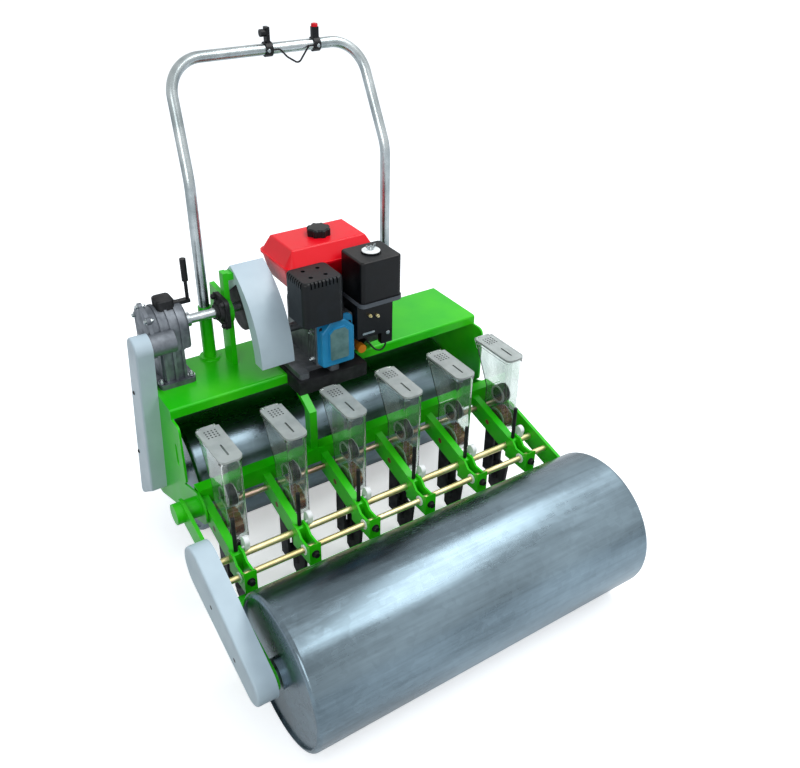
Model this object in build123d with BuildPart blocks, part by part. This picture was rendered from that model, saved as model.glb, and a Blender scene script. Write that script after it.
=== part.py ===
"""Six-row walk-behind seed planter: two drum rollers, a decked housing with a small petrol engine
above the rear drum, and six clear seed hoppers between the drums.

+X is the planter's right seen from its front, +Y runs from the front drum to the handlebar, +Z is up.
Lengths are millimetres. Outlines are drawn with the front of the hopper lids near y = 0, and every
piece is moved at the end, so that the origin lies on the ground under the middle of the machine.
"""

import os
from math import atan2, degrees

from build123d import *

# Fits
running_clearance = 0.3
fixed_clearance = 0.1
overrun = 5.0

# Rows
row_count = 6
row_pitch = 150.0
row_shift = 25.0

# Drums
drum_radius = 163.0
drum_rim_round = 9.0
drum_rim_width = 10.0
drum_end_recess = 5.0
drum_hub_radius = 32.0
drum_hub_stand = 4.0
axle_radius = 12.5
front_drum_half_length = 421.0
front_axle_y = -322.0
rear_drum_left_gap = 46.0
rear_drum_right_gap = 10.0
rear_axle_y = 371.0
axle_nut_length = 12.0

# Front arms, which carry the front drum and hang from the housing
arm_drum_gap = 9.0
arm_thickness = 8.0
arm_half_height = 29.0
pivot_y = 92.0
pivot_z = 272.0
pivot_pin_radius = 12.0
pivot_boss_radius = 24.0
pivot_cap_length = 18.0
tie_bar_size = 24.0
tie_bar_wall = 3.0
tie_bar_reach = 21.0
tie_bar_drop = 31.5

# Housing over the rear drum
housing_left = -401.0
plate_thickness = 5.0
plate_round = 15.0
plate_axle_radius = 44.0
plate_front_y = 155.0
plate_foot_z = 300.0
plate_nose_y = 84.0
plate_nose_radius = 38.0
plate_slot_width = 12.0
plate_slot_height = 60.0
plate_slot_y = 190.0
plate_slot_z = 350.0
deck_top = 466.0
deck_front = 195.0
deck_back = 385.0
deck_lip = 24.0
deck_drum_gap = 12.0
deck_sheet = 4.0
deck_bend = 6.0
beam_front = 88.0
beam_top = 313.0
beam_height = 40.0
beam_depth = 30.0
beam_wall = 3.0

# Rods across the rows
front_rod_y = -115.0
front_rod_rise = 13.5
front_rod_radius = 7.0
rear_rod_y = 75.0
rear_rod_radius = 7.0
drive_rod_y = -57.0
drive_rod_radius = 8.0

# Row arms and their front brackets, placed from the middle of each hopper
row_arm_offset = 35.0
row_arm_width = 18.0
row_arm_half_height = 25.0
row_arm_front = -75.0
bracket_sheet = 5.0
bracket_front = -138.0
bracket_back = -60.0
bracket_bottom_drop = 28.0
bracket_top_rise = 31.0
bracket_notch_depth = 15.0
row_rod_offset = 33.5
row_rod_y = -65.0
row_rod_radius = 4.5
row_rod_top = 345.0
lever_offset = 9.0
lever_thickness = 11.0
lever_height = 38.0
lever_width = 22.0
lever_y = -60.0
lever_rise = 30.0
lever_tilt = 12.0
lever_pin_radius = 3.0
front_bolt_radius = 7.0
front_bolt_length = 9.0
front_washer_radius = 9.0
front_washer_height = 2.0

# Hoppers
hopper_width = 46.0
hopper_wall = 2.5
hopper_back = 117.0
hopper_top = 443.7
hopper_neck_z = 336.0
hopper_case_radius = 40.0
hopper_rim_height = 6.0
hopper_front_round = 14.0
spout_radius = 12.0
spout_bottom = 200.0
seed_axle_y = 24.0
seed_wheel_radius = 31.0
seed_wheel_width = 26.0
seed_pocket_count = 14
seed_pocket_radius = 3.0
seed_axle_radius = 7.0
brush_y = 30.0
brush_z = 326.0
brush_radius = 24.0
brush_width = 20.0
brush_pin_radius = 3.0

# Lids
lid_thickness = 5.0
lid_seat_gap = 0.3
lid_width = 52.6
lid_front_round = 16.0
lid_hole_radius = 1.6
lid_hole_pitch_x = 8.0
lid_hole_pitch_y = 8.0
lid_hole_back = 14.0
lid_hole_rows = 4
lid_slot_length = 40.0
lid_slot_width = 3.0
lid_slot_y = 26.0
hinge_radius = 4.5
hinge_pin_radius = 2.5
hinge_setback = 6.0
hinge_knuckle_width = 26.0
hinge_lug_width = 7.0
hinge_end_gap = 0.5

# Furrow openers
opener_tube_radius = 12.0
opener_tube_wall = 2.5
opener_tip_z = 14.0
opener_tube_bottom = 60.0
shank_thickness = 6.0
shank_width = 36.0
shank_bottom = 92.0
opener_bar_height = 26.0
blade_thickness = 8.0
blade_front = -22.0
blade_back = 44.0
blade_top = 120.0

# Chain covers
cover_wall = 2.0
cover_round = 5.0
front_cover_depth = 44.0
front_cover_low_radius = 40.0
front_cover_high_radius = 56.0
front_cover_high_y = -85.0
front_cover_high_z = 262.0
rear_cover_depth = 39.0
rear_cover_toe_y = 324.0
rear_cover_toe_z = 178.0
rear_cover_heel_y = 400.0
rear_cover_heel_z = 121.0
rear_cover_corner_radius = 10.0
rear_cover_high_radius = 29.0
rear_cover_high_y = 275.0
rear_cover_high_z = 588.0
axle_end_inset = 12.0

# Gearbox
gearbox_left = -388.0
gearbox_right = -304.0
gearbox_front = 276.0
gearbox_back = 376.0
gearbox_foot_height = 12.0
gearbox_top = 656.0
gearbox_round = 10.0
gearbox_waist_inset = 14.0
gearbox_waist_top = 545.0
gearbox_arch_radius = 54.0
gearbox_shoulder_z = 556.0
gearbox_flange_left = -394.0
gearbox_flange_width = 8.0
gearbox_flange_rim = 6.0
gearbox_rib_width = 6.0
gearbox_rib_count = 3
gearbox_lug_radius = 9.0
gearbox_lug_count = 6
gearbox_lug_turn = 15.0
gearbox_face_round = 8.0
gearbox_cap_left = -362.0
gearbox_cap_right = -322.0
gearbox_cap_front = 304.0
gearbox_cap_back = 348.0
gearbox_cap_height = 12.0
gearbox_boss_radius = 30.0
input_y = 320.0
input_z = 602.0
output_boss_radius = 26.0
lever_rod_radius = 4.0
lever_rod_x = -286.0
lever_rod_bottom = 651.0
lever_rod_length = 95.0
lever_grip_radius = 7.0
lever_grip_length = 52.0
lever_arm_height = 8.0

# Shaft and belt drive
drive_shaft_radius = 11.0
collar_radius = 16.0
collar_length = 14.0
post_left = -206.0
post_thickness = 12.0
post_half_depth = 22.0
post_head_radius = 32.0
guard_left = -181.0
guard_right = -100.0
guard_sheet = 2.5
guard_top_y = 322.0
guard_top_z = 706.0
guard_mid_y = 226.0
guard_mid_z = 626.0
guard_foot_y = 188.0
guard_foot_z = 500.0
guard_back_y = 396.0
guard_back_z = 640.0
guard_face_width = 36.0
guard_slant_share = 0.7
guard_wing_y = 406.0
guard_wing_z = 568.0
guard_stay_y = 318.0
guard_stay_width = 22.0
guard_stay_height = 16.0
guard_stay_top = 694.0
pulley_left = -168.0
pulley_width = 26.0
big_pulley_radius = 58.0
small_pulley_radius = 26.0
pulley_groove = 6.0

# Engine
crank_y = 240.0
crank_z = 558.0
engine_x = 12.0
cylinder_x = -14.0
bracket_plate_left = -118.0
bracket_plate_right = 60.0
bracket_plate_front = 132.0
bracket_plate_back = 350.0
bracket_plate_height = 8.0
bracket_drop = 26.0
engine_foot_left = -98.0
engine_foot_right = -20.0
engine_foot_front = 140.0
engine_foot_back = 300.0
engine_foot_height = 14.0
engine_foot_round = 8.0
engine_foot_width = 26.0
crankcase_width = 132.0
crankcase_front = 196.0
crankcase_back = 318.0
crankcase_top = 608.0
crankcase_round = 16.0
cylinder_width = 96.0
cylinder_front = 152.0
cylinder_bottom = 490.0
cylinder_top = 608.0
fin_count = 6
fin_share = 0.5
valve_cover_width = 84.0
valve_cover_bottom = 492.0
valve_cover_top = 606.0
valve_cover_front = 128.0
valve_cover_round = 14.0
valve_cover_flange = 3.0
valve_cover_flange_height = 5.0
valve_cover_bevel = 24.0
valve_panel_inset = 15.0
valve_panel_height = 4.0
valve_panel_taper = 24.0
muffler_left = -101.0
muffler_right = 0.0
muffler_front = 124.0
muffler_back = 214.0
muffler_bottom = 610.0
muffler_top = 718.0
muffler_round = 14.0
muffler_slot_count = 8
muffler_slot_width = 3.4
muffler_slot_depth = 9.0
muffler_slot_share = 0.72
muffler_hole_radius = 5.0
muffler_pipe_radius = 12.0
cleaner_left = 40.0
cleaner_right = 146.0
cleaner_front = 118.0
cleaner_back = 214.0
cleaner_bottom = 625.0
cleaner_top = 736.0
cleaner_round = 10.0
cleaner_seam_height = 12.0
cleaner_seam_stand = 2.0
cleaner_knob_radius = 23.0
cleaner_knob_height = 3.0
tank_left = -86.0
tank_right = 146.0
tank_front = 222.0
tank_back = 372.0
tank_bottom = 650.0
tank_top = 744.0
tank_round = 22.0
tank_seam_z = 704.0
tank_seam_height = 5.0
tank_seam_stand = 3.0
tank_lower_taper = 14.0
tank_upper_taper = 32.0
tank_edge_round = 6.0
cap_x = 32.0
cap_y = 296.0
cap_radius = 28.0
cap_height = 18.0
cap_lobe_count = 8
cap_lobe_radius = 7.0
fan_radius = 88.0
fan_depth = 46.0
starter_radius = 62.0
starter_depth = 14.0
starter_slot_count = 16
starter_slot_inner = 26.0
starter_slot_outer = 54.0
starter_slot_width = 4.0
starter_slot_depth = 4.0
engine_post_x = -108.0
engine_post_width = 18.0
engine_post_depth = 24.0
carburettor_width = 34.0
control_left = 37.0
control_right = 132.0
control_front = 134.0
control_back = 149.0
control_bottom = 540.0
control_lobe_left = 102.0
control_lobe_bottom = 510.0
control_neck_right = 76.0
oil_cap_x = 64.0
oil_cap_z = 496.0
oil_cap_radius = 11.0
oil_neck_radius = 8.0
oil_neck_length = 22.0
oil_cap_length = 16.0

# Handlebar
handle_middle = 9.0
handle_half_width = 246.0
handle_top_half_width = 231.0
handle_y = 362.0
handle_bend_z = 894.0
handle_top_y = 461.0
handle_top_z = 1122.0
handle_radius = 12.0
handle_bend_radius = 110.0
handle_corner_radius = 78.0
socket_wall = 3.0
socket_top = 601.0
socket_flange_radius = 24.0
socket_flange_height = 5.0

# Controls on the handlebar
clamp_width = 16.0
clamp_wall = 4.0
throttle_x = 10.0
throttle_knob_radius = 8.0
throttle_lever_rise = 34.0
switch_x = 128.0
switch_height = 24.0
switch_width = 16.0
switch_button_radius = 7.0
switch_button_height = 7.0
cable_radius = 2.0
cable_sag = 34.0
cable_lead_share = 0.15
cable_turn_share = 0.3
cable_low_share = 0.57

# Places worked out from the sizes
row_places = [row_shift + row_pitch * (k - (row_count - 1) / 2) for k in range(row_count)]
arm_inner_x = front_drum_half_length + arm_drum_gap
housing_right = arm_inner_x
rear_drum_left = housing_left + plate_thickness + rear_drum_left_gap
rear_drum_right = housing_right - plate_thickness - rear_drum_right_gap
tie_bar_y = front_axle_y + drum_radius + tie_bar_reach
arm_slope = (pivot_z - drum_radius) / (pivot_y - front_axle_y)
arm_tilt = degrees(atan2(pivot_z - drum_radius, pivot_y - front_axle_y))
deck_under = deck_top - deck_sheet
lip_bottom = deck_top - deck_lip
back_lip_bottom = drum_radius * 2 + deck_drum_gap
lid_bottom = hopper_top + lid_seat_gap
lid_top = lid_bottom + lid_thickness
hinge_y = hopper_back + hinge_setback
hinge_z = lid_bottom


def line_z(y):
    """Height at y of the line that the front arms and the row arms follow."""
    return drum_radius + (y - front_axle_y) * arm_slope


tie_bar_z = line_z(tie_bar_y) - tie_bar_drop
front_rod_z = line_z(front_rod_y) + front_rod_rise
lever_z = line_z(lever_y) + lever_rise
seed_axle_z = line_z(seed_axle_y)
rear_rod_z = line_z(rear_rod_y)
drive_rod_z = line_z(drive_rod_y)

pieces = {}


def side_plane(x):
    """A plane at x that faces +X, with its own x along +Y and its own y along +Z."""
    return Plane(origin=(x, 0, 0), x_dir=(0, 1, 0), z_dir=(1, 0, 0))


def front_plane(y):
    """A plane at y that faces -Y, with its own x along +X and its own y along +Z."""
    return Plane(origin=(0, y, 0), x_dir=(1, 0, 0), z_dir=(0, -1, 0))


def keep(name, piece):
    """Label a finished piece and hold it for the move to the origin."""
    piece.label = name
    pieces[name] = piece


def cross_rod(left, right, y, z, radius):
    """A round rod along X."""
    with BuildPart() as rod:
        with BuildSketch(side_plane(left)):
            with Locations((y, z)):
                Circle(radius)
        extrude(amount=right - left)
    return rod.part


# Drums with closed, slightly sunk ends and a through axle

def drum(left, right, axle_left, axle_right, axle_y):
    """A drum turned about its axle, from x = left to x = right."""
    middle = Plane(origin=(0, axle_y, drum_radius), x_dir=(1, 0, 0), z_dir=(0, -1, 0))
    seat = drum_radius - drum_rim_width
    with BuildPart() as roller:
        with BuildSketch(middle) as profile:
            with BuildLine():
                Polyline(
                    (axle_left, 0),
                    (axle_left, axle_radius),
                    (left - drum_hub_stand, axle_radius),
                    (left - drum_hub_stand, drum_hub_radius),
                    (left + drum_end_recess, drum_hub_radius),
                    (left + drum_end_recess, seat),
                    (left, seat),
                    (left, drum_radius),
                    (right, drum_radius),
                    (right, seat),
                    (right - drum_end_recess, seat),
                    (right - drum_end_recess, drum_hub_radius),
                    (right + drum_hub_stand, drum_hub_radius),
                    (right + drum_hub_stand, axle_radius),
                    (axle_right, axle_radius),
                    (axle_right, 0),
                    close=True,
                )
            make_face()
            fillet(profile.vertices().group_by(Axis.Y)[-1], drum_rim_round)
        revolve(axis=Axis((0, axle_y, drum_radius), (1, 0, 0)))
    return roller.part


arm_outer_x = arm_inner_x + arm_thickness
front_axle_left = -arm_outer_x - front_cover_depth + axle_end_inset
front_axle_right = arm_outer_x + axle_nut_length
keep(
    "front_drum",
    drum(-front_drum_half_length, front_drum_half_length, front_axle_left, front_axle_right, front_axle_y),
)
rear_axle_left = housing_left - rear_cover_depth + axle_end_inset
rear_axle_right = housing_right + axle_nut_length
keep("rear_drum", drum(rear_drum_left, rear_drum_right, rear_axle_left, rear_axle_right, rear_axle_y))


# Front arms

with BuildPart() as front_arms:
    for left in (-arm_outer_x, arm_inner_x):
        with BuildSketch(side_plane(left)):
            with Locations((front_axle_y, drum_radius), (pivot_y, pivot_z)):
                Circle(arm_half_height)
            make_hull()
            with Locations((front_axle_y, drum_radius)):
                Circle(axle_radius + running_clearance, mode=Mode.SUBTRACT)
            with Locations((drive_rod_y, drive_rod_z)):
                Circle(drive_rod_radius + running_clearance, mode=Mode.SUBTRACT)
            with Locations((pivot_y, pivot_z)):
                Circle(pivot_pin_radius + fixed_clearance, mode=Mode.SUBTRACT)
        extrude(amount=arm_thickness)
keep("front_arms", front_arms.part)

with BuildPart() as tie_bar:
    with BuildSketch(side_plane(-arm_inner_x)):
        with Locations((tie_bar_y, tie_bar_z)):
            Rectangle(tie_bar_size, tie_bar_size, rotation=arm_tilt)
            inner = tie_bar_size - tie_bar_wall * 2
            Rectangle(inner, inner, rotation=arm_tilt, mode=Mode.SUBTRACT)
    extrude(amount=arm_inner_x * 2)
keep("tie_bar", tie_bar.part)

# each row: plane x, length along +X, radius of one step of a pivot boss
pivot_steps = (
    (-arm_outer_x - pivot_cap_length, pivot_cap_length, pivot_boss_radius),
    (-arm_outer_x, arm_thickness, pivot_pin_radius),
    (-arm_inner_x, housing_left + arm_inner_x, pivot_boss_radius),
    (housing_right, arm_thickness, pivot_pin_radius),
    (arm_outer_x, pivot_cap_length, pivot_boss_radius),
)
with BuildPart() as pivot_bosses:
    for step_x, step_length, step_radius in pivot_steps:
        with BuildSketch(side_plane(step_x)):
            with Locations((pivot_y, pivot_z)):
                Circle(step_radius)
        extrude(amount=step_length)
keep("pivot_bosses", pivot_bosses.part)

# Housing: deck, side plates and the beam that joins them in front

with BuildPart() as deck:
    with BuildSketch(side_plane(housing_left)) as fold:
        with BuildLine():
            Polyline(
                (deck_front, lip_bottom),
                (deck_front, deck_top),
                (deck_back, deck_top),
                (deck_back, lip_bottom),
                (deck_back - deck_sheet, lip_bottom),
                (deck_back - deck_sheet, deck_under),
                (deck_front + deck_sheet, deck_under),
                (deck_front + deck_sheet, lip_bottom),
                close=True,
            )
        make_face()
        fillet(fold.vertices().group_by(Axis.Y)[-1], deck_bend)
    extrude(amount=housing_right - housing_left)
    # rear panel below the back lip, between the side plates
    with BuildSketch(side_plane(housing_left + plate_thickness)):
        with Locations((deck_back - deck_sheet / 2, (deck_under + back_lip_bottom) / 2)):
            Rectangle(deck_sheet, deck_under - back_lip_bottom)
    extrude(amount=housing_right - housing_left - plate_thickness * 2)
keep("deck", deck.part)


def side_plate(left, slotted):
    """One side of the housing, from the deck down to the rear axle and forward to the pivot."""
    deck_depth = deck_back - deck_front - deck_sheet * 2
    corner_z = lip_bottom - plate_round
    with BuildPart() as plate:
        with BuildSketch(side_plane(left)):
            with Locations((rear_axle_y, drum_radius)):
                Circle(plate_axle_radius)
            with Locations(
                (plate_front_y + plate_round, plate_foot_z),
                (plate_front_y + plate_round, corner_z),
                (deck_back - deck_sheet - plate_round, corner_z),
            ):
                Circle(plate_round)
            make_hull()
            with BuildSketch(mode=Mode.PRIVATE) as nose:
                with Locations((plate_nose_y, pivot_z)):
                    Circle(plate_nose_radius)
                with Locations((rear_axle_y, drum_radius)):
                    Circle(plate_axle_radius)
                make_hull()
            add(nose.sketch)
            with Locations(((deck_front + deck_back) / 2, (corner_z + deck_under) / 2)):
                Rectangle(deck_depth, deck_under - corner_z)
            with Locations((rear_axle_y, drum_radius)):
                Circle(axle_radius + running_clearance, mode=Mode.SUBTRACT)
            with Locations((rear_rod_y, rear_rod_z)):
                Circle(rear_rod_radius + fixed_clearance, mode=Mode.SUBTRACT)
            if slotted:
                with Locations((plate_slot_y, plate_slot_z)):
                    SlotOverall(plate_slot_height, plate_slot_width, rotation=90, mode=Mode.SUBTRACT)
        extrude(amount=plate_thickness)
    return plate.part


with BuildPart() as side_plates:
    add(side_plate(housing_left, True))
    add(side_plate(housing_right - plate_thickness, False))
keep("side_plates", side_plates.part)

beam_left = housing_left + plate_thickness
beam_right = housing_right - plate_thickness
with BuildPart() as beam:
    with BuildSketch(side_plane(beam_left)):
        with Locations((beam_front + beam_depth / 2, beam_top - beam_height / 2)):
            Rectangle(beam_depth, beam_height)
            Rectangle(beam_depth - beam_wall * 2, beam_height - beam_wall * 2, mode=Mode.SUBTRACT)
    extrude(amount=beam_right - beam_left)
keep("cross_beam", beam.part)

# Rods across all rows

keep("front_rod", cross_rod(-arm_inner_x, arm_inner_x, front_rod_y, front_rod_z, front_rod_radius))
keep("rear_rod", cross_rod(housing_left, housing_right, rear_rod_y, rear_rod_z, rear_rod_radius))
metering_rod = cross_rod(front_axle_left, front_axle_right, drive_rod_y, drive_rod_z, drive_rod_radius)
keep("metering_shaft", metering_rod)

# Row arms

row_arm_left = -row_arm_offset - row_arm_width / 2
row_arm_right = row_arm_left + row_arm_width

with BuildPart() as row_arms:
    for x in row_places:
        with BuildSketch(side_plane(x + row_arm_left)):
            with BuildLine():
                Polyline(
                    (beam_front, line_z(beam_front) - row_arm_half_height),
                    (beam_front, line_z(beam_front) + row_arm_half_height),
                    (row_arm_front, line_z(row_arm_front) + row_arm_half_height),
                    (row_arm_front, line_z(row_arm_front) - row_arm_half_height),
                    close=True,
                )
            make_face()
            with Locations((rear_rod_y, rear_rod_z)):
                Circle(rear_rod_radius + fixed_clearance, mode=Mode.SUBTRACT)
            with Locations((drive_rod_y, drive_rod_z)):
                Circle(drive_rod_radius + running_clearance, mode=Mode.SUBTRACT)
            with Locations((seed_axle_y, seed_axle_z)):
                Circle(seed_axle_radius + running_clearance, mode=Mode.SUBTRACT)
        extrude(amount=row_arm_width)
keep("row_arms", row_arms.part)

bracket_left = row_arm_left - bracket_sheet
bracket_width = row_arm_width + bracket_sheet * 2
bracket_bottom = front_rod_z - bracket_bottom_drop
bracket_top = front_rod_z + bracket_top_rise
notch_front = bracket_front + bracket_notch_depth
notch_floor = bracket_top - bracket_notch_depth

with BuildPart() as row_brackets:
    for x in row_places:
        with BuildSketch(side_plane(x + bracket_left)):
            with BuildLine():
                Polyline(
                    (bracket_front, bracket_bottom),
                    (bracket_back, bracket_bottom),
                    (bracket_back, bracket_top),
                    (drive_rod_y - row_arm_half_height, bracket_top),
                    (drive_rod_y - row_arm_half_height - bracket_notch_depth, notch_floor),
                    (notch_front, notch_floor),
                    (bracket_front, bracket_top - bracket_sheet),
                    close=True,
                )
            make_face()
            with Locations((front_rod_y, front_rod_z)):
                Circle(front_rod_radius + fixed_clearance, mode=Mode.SUBTRACT)
            with Locations((drive_rod_y, drive_rod_z)):
                Circle(drive_rod_radius + running_clearance, mode=Mode.SUBTRACT)
        extrude(amount=bracket_width)
        with BuildSketch(side_plane(x + row_arm_left)):
            clear_front = bracket_front + bracket_sheet
            clear_depth = bracket_back - clear_front + overrun
            clear_height = bracket_top - bracket_bottom + overrun * 2
            with Locations((clear_front + clear_depth / 2, (bracket_top + bracket_bottom) / 2)):
                Rectangle(clear_depth, clear_height)
        extrude(amount=row_arm_width, mode=Mode.SUBTRACT)
keep("row_brackets", row_brackets.part)

with BuildPart() as front_bolts:
    for x in row_places:
        with BuildSketch(front_plane(bracket_front)):
            with Locations((x - row_arm_offset, front_rod_z)):
                RegularPolygon(front_bolt_radius, 6)
        extrude(amount=front_bolt_length)
        with BuildSketch(front_plane(bracket_front)):
            with Locations((x - row_arm_offset, front_rod_z)):
                Circle(front_washer_radius)
        extrude(amount=front_washer_height)
keep("front_bolts", front_bolts.part)

row_rod_bottom = line_z(row_rod_y + row_rod_radius) + row_arm_half_height + fixed_clearance
with BuildPart() as row_rods:
    with BuildSketch(Plane.XY.offset(row_rod_bottom)):
        for x in row_places:
            with Locations((x - row_rod_offset, row_rod_y)):
                Circle(row_rod_radius)
    extrude(amount=row_rod_top - row_rod_bottom)
keep("row_rods", row_rods.part)

lever_left = -lever_offset - lever_thickness / 2
bracket_right = bracket_left + bracket_width
with BuildPart() as row_levers:
    for x in row_places:
        with BuildSketch(side_plane(x + bracket_right)):
            with Locations((lever_y - row_rod_radius, lever_z - row_rod_radius)):
                Circle(lever_pin_radius)
        extrude(amount=lever_left - bracket_right)
        with BuildSketch(side_plane(x + lever_left)):
            with Locations((lever_y, lever_z)):
                SlotOverall(lever_height, lever_width, rotation=90 + lever_tilt)
        extrude(amount=lever_thickness)
keep("row_levers", row_levers.part)

# Clear hoppers: a tapering bucket over a round case for the seed wheel

case_front = seed_axle_y - hopper_case_radius
case_back = seed_axle_y + hopper_case_radius


def bucket(wall, top):
    """The hopper's side outline as a face, drawn in by a wall thickness, up to a given top."""
    with BuildSketch() as outline:
        with BuildLine():
            Polyline(
                (case_back - wall, seed_axle_z),
                (case_back - wall, hopper_neck_z),
                (hopper_back - wall, hopper_top - hopper_rim_height),
                (hopper_back - wall, top),
                (case_front + wall, top),
                (case_front + wall, seed_axle_z),
            )
            ThreePointArc(
                (case_front + wall, seed_axle_z),
                (seed_axle_y, seed_axle_z - hopper_case_radius + wall),
                (case_back - wall, seed_axle_z),
            )
        make_face()
    return outline.sketch


def bucket_form(x, wall, top):
    """The bucket as a solid with a rounded front, drawn in by a wall thickness, up to a given top."""
    width = hopper_width - wall * 2
    with BuildPart() as form:
        with BuildSketch(side_plane(x - width / 2)):
            add(bucket(wall, top))
        extrude(amount=width)
        with BuildSketch(Plane.XY.offset(seed_axle_z - hopper_case_radius)) as plan:
            with Locations((x, case_front + wall)):
                Rectangle(width, hopper_back - case_front, align=(Align.CENTER, Align.MIN))
            fillet(plan.vertices().group_by(Axis.Y)[0], hopper_front_round - wall)
        extrude(amount=top, mode=Mode.INTERSECT)
    return form.part


def rim_outline(x):
    """The outline of the lid and of the hopper's rim, seen from above."""
    with BuildSketch() as plan:
        with Locations((x, (case_front + hopper_back) / 2)):
            Rectangle(lid_width, hopper_back - case_front)
        fillet(plan.vertices().group_by(Axis.Y)[0], lid_front_round)
    return plan.sketch


def hopper(x):
    """One clear hopper with its rim, hinge lugs, wheel case and spout."""
    left = x - hopper_width / 2
    with BuildPart() as bin:
        add(bucket_form(x, 0, hopper_top))
        with BuildSketch(Plane.XY.offset(spout_bottom)):
            with Locations((x, seed_axle_y)):
                Circle(spout_radius)
        extrude(amount=seed_axle_z - hopper_case_radius - spout_bottom + hopper_wall)
        with BuildSketch(Plane.XY.offset(hopper_top - hopper_rim_height)):
            add(rim_outline(x))
        extrude(amount=hopper_rim_height)
        for side in (-1, 1):
            lug_middle = (hinge_knuckle_width / 2 + hinge_end_gap + hinge_lug_width / 2) * side
            with BuildSketch(side_plane(x + lug_middle - hinge_lug_width / 2)):
                with Locations((hinge_y, hinge_z)):
                    Circle(hinge_radius)
                with Locations((hopper_back - hinge_radius, hinge_z - hinge_radius * 4)):
                    Circle(hinge_radius)
                make_hull()
            extrude(amount=hinge_lug_width)
            with BuildSketch(side_plane(x + lug_middle - hinge_lug_width)):
                with Locations((hinge_y, hinge_z)):
                    Circle(hinge_pin_radius + running_clearance)
            extrude(amount=hinge_lug_width * 2, mode=Mode.SUBTRACT)
        add(bucket_form(x, hopper_wall, hopper_top + overrun), mode=Mode.SUBTRACT)
        with BuildSketch(Plane.XY.offset(spout_bottom - overrun)):
            with Locations((x, seed_axle_y)):
                Circle(spout_radius - hopper_wall)
        extrude(amount=seed_axle_z - hopper_case_radius - spout_bottom + overrun * 2, mode=Mode.SUBTRACT)
        with BuildSketch(side_plane(left - overrun)):
            with Locations((seed_axle_y, seed_axle_z)):
                Circle(seed_axle_radius + running_clearance)
        extrude(amount=overrun * 2, mode=Mode.SUBTRACT)
        with BuildSketch(side_plane(left - overrun)):
            with Locations((brush_y, brush_z)):
                Circle(brush_pin_radius + fixed_clearance)
        extrude(amount=hopper_width + overrun * 2, mode=Mode.SUBTRACT)
    return bin.part


for number, x in enumerate(row_places, start=1):
    keep(f"hopper_{number}", hopper(x))

with BuildPart() as seed_wheels:
    for x in row_places:
        with BuildSketch(side_plane(x - seed_wheel_width / 2)):
            with Locations((seed_axle_y, seed_axle_z)):
                Circle(seed_wheel_radius)
                with PolarLocations(seed_wheel_radius, seed_pocket_count):
                    Circle(seed_pocket_radius, mode=Mode.SUBTRACT)
        extrude(amount=seed_wheel_width)
        with BuildSketch(side_plane(x + row_arm_left)):
            with Locations((seed_axle_y, seed_axle_z)):
                Circle(seed_axle_radius)
        extrude(amount=-row_arm_left)
keep("seed_wheels", seed_wheels.part)

with BuildPart() as brush_wheels:
    for x in row_places:
        with BuildSketch(side_plane(x - brush_width / 2)):
            with Locations((brush_y, brush_z)):
                Circle(brush_radius)
        extrude(amount=brush_width)
        with BuildSketch(side_plane(x - hopper_width / 2)):
            with Locations((brush_y, brush_z)):
                Circle(brush_pin_radius)
        extrude(amount=hopper_width)
keep("brush_wheels", brush_wheels.part)


def lid(x):
    """A flat lid with a rounded front and a pinned knuckle along its back edge."""
    with BuildPart() as cover:
        with BuildSketch(Plane.XY.offset(lid_bottom)):
            add(rim_outline(x))
            holes_y = hopper_back - lid_hole_back - lid_hole_pitch_y * (lid_hole_rows - 1) / 2
            with Locations((x, holes_y)):
                with GridLocations(lid_hole_pitch_x, lid_hole_pitch_y, lid_hole_rows, lid_hole_rows):
                    Circle(lid_hole_radius, mode=Mode.SUBTRACT)
            with Locations((x, lid_slot_y)):
                SlotOverall(lid_slot_length, lid_slot_width, rotation=90, mode=Mode.SUBTRACT)
        extrude(amount=lid_thickness)
        with BuildSketch(side_plane(x - hinge_knuckle_width / 2)):
            with Locations((hinge_y, hinge_z)):
                Circle(hinge_radius)
            with Locations((hinge_y - hinge_setback, lid_bottom)):
                Rectangle(hinge_setback, lid_thickness, align=(Align.MIN, Align.MIN))
        extrude(amount=hinge_knuckle_width)
        with BuildSketch(side_plane(x - hinge_knuckle_width / 2 - hinge_end_gap - hinge_lug_width)):
            with Locations((hinge_y, hinge_z)):
                Circle(hinge_pin_radius)
        extrude(amount=hinge_knuckle_width + (hinge_end_gap + hinge_lug_width) * 2)
    return cover.part


for number, x in enumerate(row_places, start=1):
    keep(f"lid_{number}", lid(x))

# Furrow openers under the hoppers

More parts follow.
